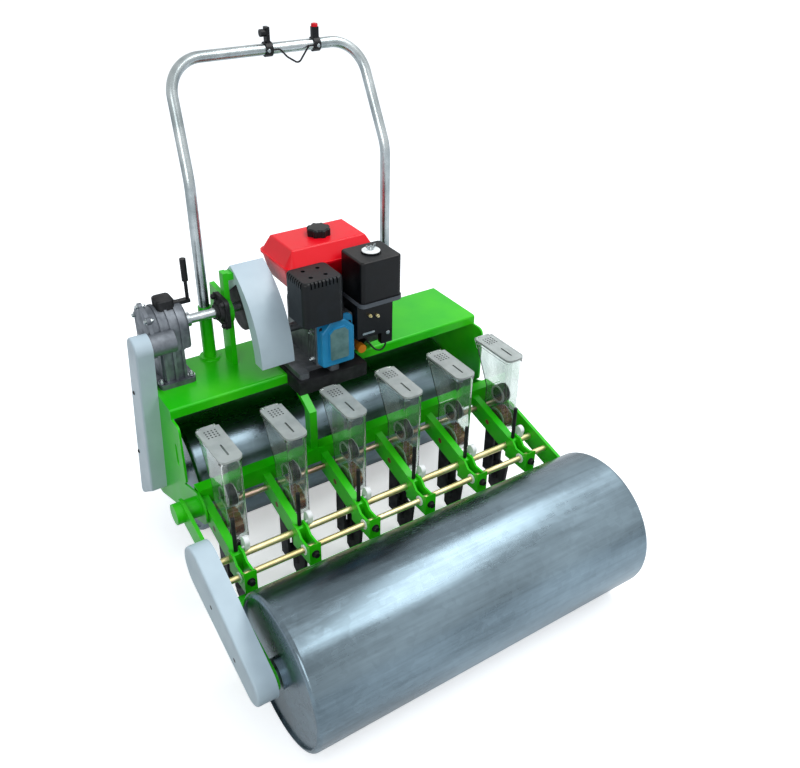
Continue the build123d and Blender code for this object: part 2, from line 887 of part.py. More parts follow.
with BuildPart() as openers:
    for x in row_places:
        shank_top = line_z(seed_axle_y - shank_width / 2) - row_arm_half_height - fixed_clearance
        with BuildSketch(side_plane(x + row_arm_right - shank_thickness)):
            with Locations((seed_axle_y, (shank_top + shank_bottom) / 2)):
                Rectangle(shank_width, shank_top - shank_bottom)
        extrude(amount=shank_thickness)
        with BuildSketch(side_plane(x + row_arm_right - shank_thickness)):
            with Locations((seed_axle_y, shank_bottom + opener_bar_height / 2)):
                Rectangle(opener_tube_radius, opener_bar_height)
        extrude(amount=shank_thickness - row_arm_right)
        with BuildSketch(Plane.XY.offset(opener_tube_bottom)):
            with Locations((x, seed_axle_y)):
                Circle(opener_tube_radius)
        extrude(amount=spout_bottom - fixed_clearance - opener_tube_bottom)
        with BuildSketch(side_plane(x - blade_thickness / 2)):
            with BuildLine():
                Polyline(
                    (blade_front, blade_top),
                    (seed_axle_y, blade_top),
                    (blade_back, opener_tube_bottom),
                    (blade_back, opener_tip_z + opener_tube_radius),
                    (seed_axle_y, opener_tip_z),
                    (blade_front + opener_tube_radius, opener_tip_z),
                    close=True,
                )
            make_face()
        extrude(amount=blade_thickness)
        with BuildSketch(Plane.XY.offset(opener_tube_bottom)):
            with Locations((x, seed_axle_y)):
                Circle(opener_tube_radius - opener_tube_wall)
        extrude(amount=spout_bottom, mode=Mode.SUBTRACT)
keep("furrow_openers", openers.part)


# Chain covers

def chain_cover(left, depth, corners, bores):
    """A closed sheet cover stretched round corner circles, with bores in the wall facing the machine."""
    with BuildPart() as cover:
        with BuildSketch(side_plane(left)):
            for place, radius in corners:
                with Locations(place):
                    Circle(radius)
            make_hull()
        extrude(amount=depth)
        fillet(cover.faces().sort_by(Axis.X)[0].edges(), cover_round)
        with BuildSketch(side_plane(left + cover_wall)):
            for place, radius in corners:
                with Locations(place):
                    Circle(radius - cover_wall * 2)
            make_hull()
        extrude(amount=depth - cover_wall * 2, mode=Mode.SUBTRACT)
        with BuildSketch(side_plane(left + depth - cover_wall - overrun)):
            for place, radius in bores:
                with Locations(place):
                    Circle(radius)
        extrude(amount=cover_wall + overrun * 2, mode=Mode.SUBTRACT)
    return cover.part


# each row: centre (y, z) and radius of a corner circle, then of a bore
front_cover_corners = (
    ((front_axle_y, drum_radius), front_cover_low_radius),
    ((front_cover_high_y, front_cover_high_z), front_cover_high_radius),
)
front_cover_bores = (
    ((front_axle_y, drum_radius), axle_radius + running_clearance),
    ((drive_rod_y, drive_rod_z), drive_rod_radius + running_clearance),
)
rear_cover_corners = (
    ((rear_cover_high_y, rear_cover_high_z), rear_cover_high_radius),
    ((rear_cover_toe_y, rear_cover_toe_z), rear_cover_corner_radius),
    ((rear_cover_heel_y, rear_cover_heel_z), rear_cover_corner_radius),
)
rear_cover_bores = (((rear_axle_y, drum_radius), axle_radius + running_clearance),)
front_cover_left = -arm_outer_x - front_cover_depth
rear_cover_left = housing_left - rear_cover_depth
front_cover = chain_cover(front_cover_left, front_cover_depth, front_cover_corners, front_cover_bores)
keep("front_chain_cover", front_cover)
rear_cover = chain_cover(rear_cover_left, rear_cover_depth, rear_cover_corners, rear_cover_bores)
keep("rear_chain_cover", rear_cover)

# Gearbox

gearbox_middle_x = (gearbox_left + gearbox_right) / 2
gearbox_middle_y = (gearbox_front + gearbox_back) / 2
arch_z = gearbox_top - gearbox_arch_radius


def arch(radius, bottom):
    """The gearbox's side outline: a round top over straight sides that end at a given height."""
    with BuildSketch() as outline:
        with Locations((gearbox_middle_y, arch_z)):
            Circle(radius)
        with Locations((gearbox_middle_y, (arch_z + bottom) / 2)):
            Rectangle(radius * 2, arch_z - bottom)
    return outline.sketch


with BuildPart() as gearbox:
    # upper casting: an arched case with rounded ends
    with BuildSketch(side_plane(gearbox_left)):
        add(arch(gearbox_arch_radius - gearbox_flange_rim, gearbox_shoulder_z))
    extrude(amount=gearbox_right - gearbox_left)
    fillet(gearbox.faces().sort_by(Axis.X)[-1].edges(), gearbox_face_round)
    # lower casting, drawn in above its foot
    waist_width = gearbox_right - gearbox_left - gearbox_waist_inset * 2
    waist_depth = gearbox_back - gearbox_front - gearbox_waist_inset * 2
    with BuildSketch(Plane.XY.offset(deck_top)):
        with Locations((gearbox_middle_x, gearbox_middle_y)):
            RectangleRounded(waist_width, waist_depth, gearbox_round)
    extrude(amount=gearbox_waist_top + gearbox_waist_inset - deck_top)
    with BuildSketch(Plane.XY.offset(deck_top)):
        with Locations((gearbox_middle_x, gearbox_middle_y)):
            RectangleRounded(gearbox_right - gearbox_left, gearbox_back - gearbox_front, gearbox_round)
            with GridLocations(waist_width + gearbox_round, waist_depth + gearbox_round, 2, 2):
                Circle(lever_rod_radius, mode=Mode.SUBTRACT)
    extrude(amount=gearbox_foot_height)
    # bolted flange round the left end, with lugs
    with BuildSketch(side_plane(gearbox_flange_left)):
        add(arch(gearbox_arch_radius, gearbox_shoulder_z))
        with Locations((gearbox_middle_y, arch_z)):
            lug_circle = gearbox_arch_radius - gearbox_flange_rim / 2
            with PolarLocations(lug_circle, gearbox_lug_count, gearbox_lug_turn):
                Circle(gearbox_lug_radius)
    extrude(amount=gearbox_flange_width)
    # ribs over the arch and down the front
    rib_pitch = (gearbox_right - gearbox_left) / (gearbox_rib_count + 1)
    for k in range(gearbox_rib_count):
        rib_left = gearbox_left + rib_pitch * (k + 1) - gearbox_rib_width / 2
        with BuildSketch(side_plane(rib_left)):
            add(arch(gearbox_arch_radius - gearbox_flange_rim / 2, gearbox_shoulder_z))
            with Locations((gearbox_middle_y, (gearbox_shoulder_z + deck_top) / 2)):
                Rectangle(waist_depth + gearbox_rib_width * 2, gearbox_shoulder_z - deck_top)
        extrude(amount=gearbox_rib_width)
    # bosses for the shaft on the right and for the chain on the left
    with BuildSketch(side_plane(gearbox_left)):
        with Locations((input_y, input_z)):
            Circle(gearbox_boss_radius)
    extrude(amount=gearbox_right - gearbox_left)
    with BuildSketch(side_plane(housing_left)):
        with Locations((rear_cover_high_y, rear_cover_high_z)):
            Circle(output_boss_radius)
    extrude(amount=gearbox_middle_x - housing_left)
keep("gearbox", gearbox.part)

with BuildPart() as gearbox_cap:
    with BuildSketch(Plane.XY.offset(arch_z)):
        cap_middle_x = (gearbox_cap_left + gearbox_cap_right) / 2
        with Locations((cap_middle_x, (gearbox_cap_front + gearbox_cap_back) / 2)):
            cap_depth = gearbox_cap_back - gearbox_cap_front
            RectangleRounded(gearbox_cap_right - gearbox_cap_left, cap_depth, gearbox_round)
    extrude(amount=gearbox_top + gearbox_cap_height - arch_z)
    fillet(gearbox_cap.faces().sort_by(Axis.Z)[-1].edges(), gearbox_cap_height / 3)
    add(gearbox.part, mode=Mode.SUBTRACT)
keep("gearbox_cap", gearbox_cap.part)

lever_left_x = gearbox_right - gearbox_face_round * 2
with BuildPart() as gear_lever:
    with BuildSketch(side_plane(lever_left_x)):
        with Locations((gearbox_middle_y, lever_rod_bottom - lever_arm_height / 2)):
            Rectangle(lever_grip_radius * 2, lever_arm_height)
    extrude(amount=lever_rod_x - lever_left_x + lever_rod_radius)
    with BuildSketch(Plane.XY.offset(lever_rod_bottom - lever_arm_height)):
        with Locations((lever_rod_x, gearbox_middle_y)):
            Circle(lever_rod_radius)
    extrude(amount=lever_rod_length)
    with BuildSketch(Plane.XY.offset(lever_rod_bottom + lever_rod_length - lever_grip_length)):
        with Locations((lever_rod_x, gearbox_middle_y)):
            Circle(lever_grip_radius)
    extrude(amount=lever_grip_length)
    add(gearbox.part, mode=Mode.SUBTRACT)
keep("gear_lever", gear_lever.part)

# Shaft from the gearbox to the belt pulley, its post, the pulleys and their guard

pulley_right = pulley_left + pulley_width
with BuildPart() as drive_shaft:
    with BuildSketch(side_plane(gearbox_right)):
        with Locations((input_y, input_z)):
            Circle(drive_shaft_radius)
    extrude(amount=pulley_left - gearbox_right)
    with BuildSketch(side_plane(gearbox_right)):
        with Locations((input_y, input_z)):
            Circle(collar_radius)
    extrude(amount=collar_length)
keep("drive_shaft", drive_shaft.part)

with BuildPart() as bearing_post:
    with BuildSketch(side_plane(post_left)):
        with Locations((input_y, input_z)):
            Circle(post_head_radius)
        with Locations((input_y, (deck_top + input_z) / 2)):
            Rectangle(post_half_depth * 2, input_z - deck_top)
        with BuildLine():
            Polyline(
                (input_y, input_z + post_head_radius),
                (guard_back_y, guard_back_z),
                (guard_wing_y, guard_wing_z),
                (input_y, input_z - post_head_radius),
                close=True,
            )
        make_face()
        with Locations((input_y, input_z)):
            Circle(drive_shaft_radius + fixed_clearance, mode=Mode.SUBTRACT)
    extrude(amount=post_thickness)
    post_right = post_left + post_thickness
    with BuildSketch(side_plane(post_left)):
        with Locations((guard_stay_y, (input_z + post_head_radius + guard_stay_top) / 2)):
            Rectangle(guard_stay_width, guard_stay_top - input_z - post_head_radius + overrun)
    extrude(amount=post_thickness)
    with BuildSketch(side_plane(post_right)):
        with Locations((guard_stay_y, guard_stay_top - guard_stay_height / 2)):
            Rectangle(guard_stay_width, guard_stay_height)
    extrude(amount=guard_left - post_right)
keep("bearing_post", bearing_post.part)


def guard_strip(inset):
    """The guard's outline over the pulleys and down the back, as a face that reaches in by an inset."""
    slant = inset * guard_slant_share
    with BuildSketch() as strip:
        with BuildLine():
            ThreePointArc(
                (guard_foot_y, guard_foot_z),
                (guard_mid_y, guard_mid_z),
                (guard_top_y, guard_top_z),
            )
            Line((guard_top_y, guard_top_z), (guard_back_y, guard_back_z))
            Line((guard_back_y, guard_back_z), (guard_back_y - slant, guard_back_z - slant))
            Line((guard_back_y - slant, guard_back_z - slant), (guard_top_y - slant, guard_top_z - inset))
            ThreePointArc(
                (guard_top_y - slant, guard_top_z - inset),
                (guard_mid_y + slant, guard_mid_z - slant),
                (guard_foot_y + inset, guard_foot_z),
            )
            Line((guard_foot_y + inset, guard_foot_z), (guard_foot_y, guard_foot_z))
        make_face()
    return strip.sketch


with BuildPart() as belt_guard:
    # each row: how far the wall reaches in from the outline, and its length along +X
    for wall_inset, wall_length in ((guard_sheet, guard_right - guard_left), (guard_face_width, guard_sheet)):
        with BuildSketch(side_plane(guard_left)):
            add(guard_strip(wall_inset))
        extrude(amount=wall_length)
keep("belt_guard", belt_guard.part)


def pulley(y, z, radius):
    """A grooved belt pulley about an axis along X."""
    axis_plane = Plane(origin=(0, y, z), x_dir=(1, 0, 0), z_dir=(0, -1, 0))
    with BuildPart() as wheel:
        with BuildSketch(axis_plane):
            with BuildLine():
                Polyline(
                    (pulley_left, 0),
                    (pulley_left, radius),
                    (pulley_left + pulley_groove, radius),
                    ((pulley_left + pulley_right) / 2, radius - pulley_groove),
                    (pulley_right - pulley_groove, radius),
                    (pulley_right, radius),
                    (pulley_right, 0),
                    close=True,
                )
            make_face()
        revolve(axis=Axis((0, y, z), (1, 0, 0)))
    return wheel.part


with BuildPart() as belt_pulleys:
    add(pulley(input_y, input_z, big_pulley_radius))
    add(pulley(crank_y, crank_z, small_pulley_radius))
keep("belt_pulleys", belt_pulleys.part)

# Engine

case_left = engine_x - crankcase_width / 2
case_right = engine_x + crankcase_width / 2
foot_z = deck_top + bracket_plate_height


def block(left, right, front, back, bottom, top, round_radius):
    """A box between six planes, its upright edges and top edges rounded."""
    with BuildPart() as box:
        with BuildSketch(Plane.XY.offset(bottom)):
            with Locations(((left + right) / 2, (front + back) / 2)):
                RectangleRounded(right - left, back - front, round_radius)
        extrude(amount=top - bottom)
        fillet(box.faces().sort_by(Axis.Z)[-1].edges(), round_radius / 2)
    return box.part


with BuildPart() as engine_bracket:
    plate_middle_x = (bracket_plate_left + bracket_plate_right) / 2
    plate_middle_y = (bracket_plate_front + bracket_plate_back) / 2
    with BuildSketch(Plane.XY.offset(deck_top)):
        with Locations((plate_middle_x, plate_middle_y)):
            Rectangle(bracket_plate_right - bracket_plate_left, bracket_plate_back - bracket_plate_front)
    extrude(amount=bracket_plate_height)
    with BuildSketch(Plane.XY.offset(deck_top - bracket_drop)):
        with Locations((plate_middle_x, (bracket_plate_front + deck_front) / 2)):
            Rectangle(bracket_plate_right - bracket_plate_left, deck_front - bracket_plate_front)
    extrude(amount=bracket_drop)
keep("engine_bracket", engine_bracket.part)

with BuildPart() as engine_post:
    with BuildSketch(Plane.XY.offset(beam_top)):
        with Locations((engine_post_x, beam_front + beam_depth / 2)):
            Rectangle(engine_post_width, engine_post_depth)
    post_head_z = deck_top - bracket_drop - engine_post_depth
    extrude(amount=post_head_z - beam_top)
    with BuildSketch(side_plane(engine_post_x - engine_post_width / 2)):
        with BuildLine():
            post_front = beam_front + (beam_depth - engine_post_depth) / 2
            Polyline(
                (post_front, post_head_z),
                (post_front + engine_post_depth, post_head_z),
                (bracket_plate_front + engine_post_depth, deck_top - bracket_drop),
                (bracket_plate_front, deck_top - bracket_drop),
                close=True,
            )
        make_face()
    extrude(amount=engine_post_width)
keep("engine_post", engine_post.part)

with BuildPart() as crankcase:
    add(block(case_left, case_right, crankcase_front, crankcase_back, foot_z, crankcase_top, crankcase_round))
    with BuildSketch(side_plane(pulley_right)):
        with Locations((crank_y, crank_z)):
            Circle(drive_shaft_radius)
    extrude(amount=case_left + crankcase_round - pulley_right)
    with BuildSketch(Plane.XY.offset(crankcase_top)):
        with Locations((engine_x, (tank_front + crankcase_back) / 2)):
            Rectangle(crankcase_width / 2, (crankcase_back - tank_front) / 2)
    extrude(amount=tank_bottom - crankcase_top)
    foot_depth = engine_foot_back - engine_foot_front
    foot_middle_x = (engine_foot_right + engine_foot_left) / 2
    foot_middle_y = (engine_foot_front + engine_foot_back) / 2
    with BuildSketch(Plane.XY.offset(foot_z)):
        with Locations((foot_middle_x, foot_middle_y)):
            with GridLocations(engine_foot_right - engine_foot_left, 0, 2, 1):
                RectangleRounded(engine_foot_width, foot_depth, engine_foot_round)
            Rectangle(engine_foot_right - engine_foot_left, foot_depth - engine_foot_width * 2)
    extrude(amount=engine_foot_height)
keep("crankcase", crankcase.part)

with BuildPart() as cylinder:
    fin_pitch = (crankcase_front - cylinder_front) / fin_count
    with BuildSketch(front_plane(crankcase_front)):
        with Locations((cylinder_x, (cylinder_bottom + cylinder_top) / 2)):
            inner_width = cylinder_width - fin_pitch * 2
            Rectangle(inner_width, cylinder_top - cylinder_bottom - fin_pitch * 2)
    extrude(amount=crankcase_front - cylinder_front)
    for k in range(fin_count):
        with BuildSketch(front_plane(cylinder_front + fin_pitch * (k + fin_share))):
            with Locations((cylinder_x, (cylinder_bottom + cylinder_top) / 2)):
                RectangleRounded(cylinder_width, cylinder_top - cylinder_bottom, fin_pitch)
        extrude(amount=fin_pitch * fin_share)
keep("cylinder", cylinder.part)

cover_middle_z = (valve_cover_bottom + valve_cover_top) / 2
cover_height = valve_cover_top - valve_cover_bottom
with BuildPart() as valve_cover:
    with BuildSketch(front_plane(cylinder_front)):
        with Locations((cylinder_x, cover_middle_z)):
            flange_width = valve_cover_width + valve_cover_flange * 2
            RectangleRounded(flange_width, cover_height + valve_cover_flange * 2, valve_cover_round)
    extrude(amount=valve_cover_flange_height)
    with BuildSketch(front_plane(cylinder_front)) as body:
        with Locations((cylinder_x, cover_middle_z)):
            Rectangle(valve_cover_width, cover_height)
        chamfer(body.vertices().group_by(Axis.Y)[-1], valve_cover_bevel)
        fillet(body.vertices(), valve_cover_round / 2)
    extrude(amount=cylinder_front - valve_cover_front - valve_panel_height)
    fillet(valve_cover.faces().sort_by(Axis.Y)[0].edges(), valve_cover_round / 3)
    with BuildSketch(front_plane(valve_cover_front + valve_panel_height)) as panel:
        with Locations((cylinder_x, cover_middle_z)):
            Rectangle(valve_cover_width - valve_panel_inset * 2, cover_height - valve_panel_inset * 2)
        chamfer(panel.vertices().group_by(Axis.Y)[-1], valve_cover_bevel / 2)
    extrude(amount=valve_panel_height, taper=valve_panel_taper)
keep("valve_cover", valve_cover.part)

with BuildPart() as muffler:
    add(
        block(
            muffler_left,
            muffler_right,
            muffler_front,
            muffler_back,
            muffler_bottom,
            muffler_top,
            muffler_round,
        )
    )
    muffler_middle_x = (muffler_left + muffler_right) / 2
    muffler_middle_y = (muffler_front + muffler_back) / 2
    slot_span = (muffler_right - muffler_left) * muffler_slot_share
    slot_pitch = slot_span / muffler_slot_count
    # each row: where the slots' middle lies, how they are spread along x and y, and their size
    slot_rows = (
        (
            (muffler_middle_x, muffler_front),
            (muffler_slot_count, 1),
            (muffler_slot_width, muffler_slot_depth),
        ),
        (
            (muffler_left, muffler_middle_y),
            (1, muffler_slot_count),
            (muffler_slot_depth, muffler_slot_width),
        ),
    )
    with BuildSketch(Plane.XY.offset(muffler_top - muffler_round)):
        for slots_at, (count_x, count_y), (slot_x, slot_y) in slot_rows:
            with Locations(slots_at):
                with GridLocations(slot_pitch, slot_pitch, count_x, count_y):
                    Rectangle(slot_x, slot_y)
    extrude(amount=muffler_round, mode=Mode.SUBTRACT)
    with BuildSketch(Plane.XY.offset(muffler_top - muffler_slot_depth)):
        with Locations((muffler_middle_x, muffler_middle_y)):
            with GridLocations(slot_span / 2, slot_span / 2, 2, 2):
                Circle(muffler_hole_radius)
    extrude(amount=muffler_slot_depth, mode=Mode.SUBTRACT)
    pipe_x = cylinder_x - cylinder_width / 2 + muffler_pipe_radius * 2
    with BuildSketch(Plane.XY.offset(cylinder_top)):
        with Locations((pipe_x, (cylinder_front + crankcase_front) / 2)):
            Circle(muffler_pipe_radius)
    extrude(amount=muffler_bottom - cylinder_top + overrun)
keep("muffler", muffler.part)

cleaner_middle = ((cleaner_left + cleaner_right) / 2, (cleaner_front + cleaner_back) / 2)
with BuildPart() as air_cleaner:
    add(
        block(
            cleaner_left,
            cleaner_right,
            cleaner_front,
            cleaner_back,
            cleaner_bottom,
            cleaner_top,
            cleaner_round,
        )
    )
    with BuildSketch(Plane.XY.offset(cleaner_bottom)):
        with Locations(cleaner_middle):
            seam_width = cleaner_right - cleaner_left + cleaner_seam_stand * 2
            seam_depth = cleaner_back - cleaner_front + cleaner_seam_stand * 2
            RectangleRounded(seam_width, seam_depth, cleaner_round + cleaner_seam_stand)
    extrude(amount=cleaner_seam_height)
    with BuildSketch(Plane.XY.offset(cleaner_top)):
        with Locations(cleaner_middle):
            Circle(cleaner_knob_radius)
    extrude(amount=cleaner_knob_height)
    # hollowed underneath, where it reaches over the fan housing
    with BuildSketch(side_plane(case_right - fixed_clearance)):
        with Locations((crank_y, crank_z)):
            Circle(fan_radius + fixed_clearance)
    extrude(amount=fan_depth + starter_depth + fixed_clearance * 2, mode=Mode.SUBTRACT)
keep("air_cleaner", air_cleaner.part)

# carburettor with its black control box in front and a neck between them
# each row: left, right, front, back, bottom of a block that ends under the air cleaner
control_blocks = (
    (
        case_right - carburettor_width,
        case_right,
        crankcase_front,
        crankcase_front + carburettor_width,
        crankcase_top,
    ),
    (control_left, control_right, control_front, control_back, control_bottom),
    (control_lobe_left, control_right, control_front, control_back, control_lobe_bottom),
    (control_left, control_neck_right, control_back, crankcase_front, control_bottom),
)
with BuildPart() as carburettor:
    for left, right, front, back, bottom in control_blocks:
        with BuildSketch(Plane.XY.offset(bottom)):
            with Locations(((left + right) / 2, (front + back) / 2)):
                Rectangle(right - left, back - front)
        extrude(amount=cleaner_bottom - bottom)
keep("carburettor", carburettor.part)

with BuildPart() as fuel_tank:
    tank_middle = ((tank_left + tank_right) / 2, (tank_front + tank_back) / 2)
    tank_width = tank_right - tank_left
    tank_depth = tank_back - tank_front
    with BuildSketch(Plane.XY.offset(tank_seam_z)):
        with Locations(tank_middle):
            RectangleRounded(tank_width, tank_depth, tank_round)
    extrude(amount=tank_bottom - tank_seam_z, taper=tank_lower_taper)
    with BuildSketch(Plane.XY.offset(tank_seam_z)):
        with Locations(tank_middle):
            seam_grow = tank_seam_stand * 2
            RectangleRounded(tank_width + seam_grow, tank_depth + seam_grow, tank_round)
    extrude(amount=tank_seam_height)
    with BuildSketch(Plane.XY.offset(tank_seam_z + tank_seam_height)):
        with Locations(tank_middle):
            RectangleRounded(tank_width, tank_depth, tank_round)
    extrude(amount=tank_top - tank_seam_z - tank_seam_height, taper=tank_upper_taper)
    fillet(fuel_tank.faces().sort_by(Axis.Z)[-1].edges(), tank_edge_round)
keep("fuel_tank", fuel_tank.part)

with BuildPart() as fuel_cap:
    with BuildSketch(Plane.XY.offset(tank_top)):
        with Locations((cap_x, cap_y)):
            Circle(cap_radius - cap_lobe_radius / 2)
            with PolarLocations(cap_radius - cap_lobe_radius, cap_lobe_count):
                Circle(cap_lobe_radius)
    extrude(amount=cap_height)
    chamfer(fuel_cap.faces().sort_by(Axis.Z)[-1].edges(), cap_height / 6)
keep("fuel_cap", fuel_cap.part)

with BuildPart() as recoil_starter:
    with BuildSketch(side_plane(case_right)):
        with Locations((crank_y, crank_z)):
            Circle(fan_radius - fixed_clearance)
        with Locations((crank_y, deck_top - fan_radius)):
            Rectangle(fan_radius * 2, (foot_z - deck_top + fan_radius) * 2, mode=Mode.SUBTRACT)
    extrude(amount=fan_depth)
    with BuildSketch(side_plane(case_right + fan_depth)):
        with Locations((crank_y, crank_z)):
            Circle(starter_radius)
    extrude(amount=starter_depth)
    with BuildSketch(side_plane(case_right + fan_depth + starter_depth - starter_slot_depth)):
        with Locations((crank_y, crank_z)):
            with PolarLocations((starter_slot_inner + starter_slot_outer) / 2, starter_slot_count):
                SlotOverall(starter_slot_outer - starter_slot_inner, starter_slot_width)
    extrude(amount=starter_slot_depth, mode=Mode.SUBTRACT)
keep("recoil_starter", recoil_starter.part)

# each row: where a step starts in front of the crankcase, its radius and its length
oil_cap_steps = ((0, oil_neck_radius, oil_neck_length), (oil_neck_length, oil_cap_radius, oil_cap_length))
with BuildPart() as oil_cap:
    for step_start, step_radius, step_length in oil_cap_steps:
        with BuildSketch(front_plane(crankcase_front - step_start)):
            with Locations((oil_cap_x, oil_cap_z)):
                Circle(step_radius)
        extrude(amount=step_length)
keep("oil_cap", oil_cap.part)

# Handlebar in two sockets on the deck

handle_foot_z = deck_top + socket_flange_height
with BuildPart() as handlebar:
    with BuildLine() as bar_line:
        FilletPolyline(
            (handle_middle - handle_half_width, handle_y, handle_foot_z),
            (handle_middle - handle_half_width, handle_y, handle_bend_z),
            (handle_middle - handle_top_half_width, handle_top_y, handle_top_z),
            (handle_middle + handle_top_half_width, handle_top_y, handle_top_z),
            (handle_middle + handle_half_width, handle_y, handle_bend_z),
            (handle_middle + handle_half_width, handle_y, handle_foot_z),
            radius=[handle_bend_radius, handle_corner_radius, handle_corner_radius, handle_bend_radius],
        )
    with BuildSketch(Plane.XY.offset(handle_foot_z)):
        with Locations((handle_middle - handle_half_width, handle_y)):
            Circle(handle_radius)
    sweep()
keep("handlebar", handlebar.part)

with BuildPart() as handle_sockets:
    for side in (-1, 1):
        place = (handle_middle + handle_half_width * side, handle_y)
        with BuildSketch(Plane.XY.offset(deck_top)):
            with Locations(place):
                Circle(socket_flange_radius)
        extrude(amount=socket_flange_height)
        with BuildSketch(Plane.XY.offset(handle_foot_z)):
            with Locations(place):
                Circle(handle_radius + fixed_clearance + socket_wall)
                Circle(handle_radius + fixed_clearance, mode=Mode.SUBTRACT)
        extrude(amount=socket_top - handle_foot_z)
keep("handle_sockets", handle_sockets.part)

# Throttle lever, stop switch and the cable between them

clamp_outer = handle_radius + fixed_clearance + clamp_wall
clamp_top = handle_top_z + clamp_outer


def bar_clamp(x):
    """A ring clamped round the handlebar's top bar."""
    with BuildPart() as clamp:
        with BuildSketch(side_plane(x - clamp_width / 2)):
            with Locations((handle_top_y, handle_top_z)):
                Circle(clamp_outer)
                Circle(handle_radius + fixed_clearance, mode=Mode.SUBTRACT)
        extrude(amount=clamp_width)
    return clamp.part


with BuildPart() as throttle_lever:
    add(bar_clamp(throttle_x))
    with BuildSketch(Plane.XY.offset(handle_top_z + handle_radius + fixed_clearance * 2)):
        with Locations((throttle_x, handle_top_y)):
            Rectangle(clamp_wall * 2, clamp_width)
    extrude(amount=throttle_lever_rise)
    with BuildSketch(side_plane(throttle_x - clamp_width)):
        with Locations((handle_top_y, handle_top_z + throttle_lever_rise)):
            Circle(throttle_knob_radius)
    extrude(amount=clamp_width)
keep("throttle_lever", throttle_lever.part)

with BuildPart() as stop_switch:
    add(bar_clamp(switch_x))
    with BuildSketch(Plane.XY.offset(handle_top_z + handle_radius + fixed_clearance * 2)):
        with Locations((switch_x, handle_top_y)):
            RectangleRounded(switch_width, switch_width, clamp_wall)
    extrude(amount=switch_height)
    with BuildSketch(Plane.XY.offset(handle_top_z + handle_radius + switch_height)):
        with Locations((switch_x, handle_top_y)):
            Circle(switch_button_radius)
    extrude(amount=switch_button_height)
keep("stop_switch", stop_switch.part)

cable_near_y = handle_top_y - handle_radius - cable_radius - fixed_clearance * 2
cable_y = cable_near_y - cable_radius * 2
cable_z = handle_top_z
cable_start = throttle_x + clamp_width / 2
cable_end = switch_x - clamp_width / 2
cable_run = cable_end - cable_start
with BuildPart() as switch_cable:
    with BuildLine():
        FilletPolyline(
            (cable_start, cable_near_y, cable_z),
            (cable_start + cable_run * cable_lead_share, cable_near_y, cable_z),
            (cable_start + cable_run * cable_turn_share, cable_y, cable_z - cable_sag / 2),
            (cable_start + cable_run * cable_low_share, cable_y, cable_z - cable_sag),
            (cable_end - cable_run * cable_lead_share, cable_near_y, cable_z),
            (cable_end, cable_near_y, cable_z),
            radius=[cable_sag / 4, cable_sag / 2, cable_sag / 3, cable_sag / 5],
        )
    with BuildSketch(Plane(origin=(cable_start, cable_near_y, cable_z), z_dir=(1, 0, 0))):
        Circle(cable_radius)
    sweep()
keep("switch_cable", switch_cable.part)

# Move everything so that the origin is on the ground under the middle, and write the pieces

box = Compound(list(pieces.values())).bounding_box()
shift = Vector(-(box.min.X + box.max.X) / 2, -(box.min.Y + box.max.Y) / 2, -box.min.Z)
print("shift", tuple(round(v, 4) for v in shift))
print("size", tuple(round(v, 2) for v in box.size))

os.makedirs("parts", exist_ok=True)
for name, piece in pieces.items():
    moved = piece.moved(Location(shift))
    moved.label = name
    export_step(moved, f"parts/{name}.step")
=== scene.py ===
# %% [markdown]
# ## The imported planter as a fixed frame
# The planter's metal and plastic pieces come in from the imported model, each as an object of its own,
# with its place in its mesh. Nothing here moves or reshapes them. This lesson dresses them: it gives
# every piece the finish of its real material, and adds the small things that a modeller would leave
# to this stage, such as screws, holes and wires.

# %% Load the planter
import math

import bmesh
import bpy
from mathutils import Matrix, Vector


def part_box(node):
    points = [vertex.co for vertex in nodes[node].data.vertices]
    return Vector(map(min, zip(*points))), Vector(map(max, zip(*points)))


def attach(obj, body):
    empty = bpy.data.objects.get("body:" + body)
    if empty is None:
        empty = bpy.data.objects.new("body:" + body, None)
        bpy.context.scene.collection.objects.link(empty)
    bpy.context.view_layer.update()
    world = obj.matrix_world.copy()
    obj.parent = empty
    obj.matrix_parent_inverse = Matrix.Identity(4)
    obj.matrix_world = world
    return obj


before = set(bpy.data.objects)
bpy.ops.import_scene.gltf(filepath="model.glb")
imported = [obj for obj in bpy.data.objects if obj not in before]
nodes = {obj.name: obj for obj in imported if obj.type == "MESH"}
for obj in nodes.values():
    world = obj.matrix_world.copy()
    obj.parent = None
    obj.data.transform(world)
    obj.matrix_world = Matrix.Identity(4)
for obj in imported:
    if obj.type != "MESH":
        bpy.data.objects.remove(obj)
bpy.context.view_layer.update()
MM = 0.001

# %% [markdown]
# ## The camera
# The photograph was taken from the front left, from above the handlebar's middle, with a fairly wide
# lens: the front drum is much larger in the picture than the rear one. The camera's place, turn and
# lens were solved from points of the planter whose sizes are known, so the camera is placed by
# numbers, and its axes are worked out from a compass angle, a downward angle and a small roll.

# %% Camera
CAMERA_PLACE = Vector((-0.8312, -1.3699, 1.5338))
CAMERA_TURN = math.radians(34.1)
CAMERA_DOWN = math.radians(32.9)
CAMERA_ROLL = math.radians(1.2)

ahead = Vector((
    math.sin(CAMERA_TURN) * math.cos(CAMERA_DOWN),
    math.cos(CAMERA_TURN) * math.cos(CAMERA_DOWN),
    -math.sin(CAMERA_DOWN),
))
level = Vector((math.cos(CAMERA_TURN), -math.sin(CAMERA_TURN), 0))
above = level.cross(ahead)
right = level * math.cos(CAMERA_ROLL) + above * math.sin(CAMERA_ROLL)
up = above * math.cos(CAMERA_ROLL) - level * math.sin(CAMERA_ROLL)

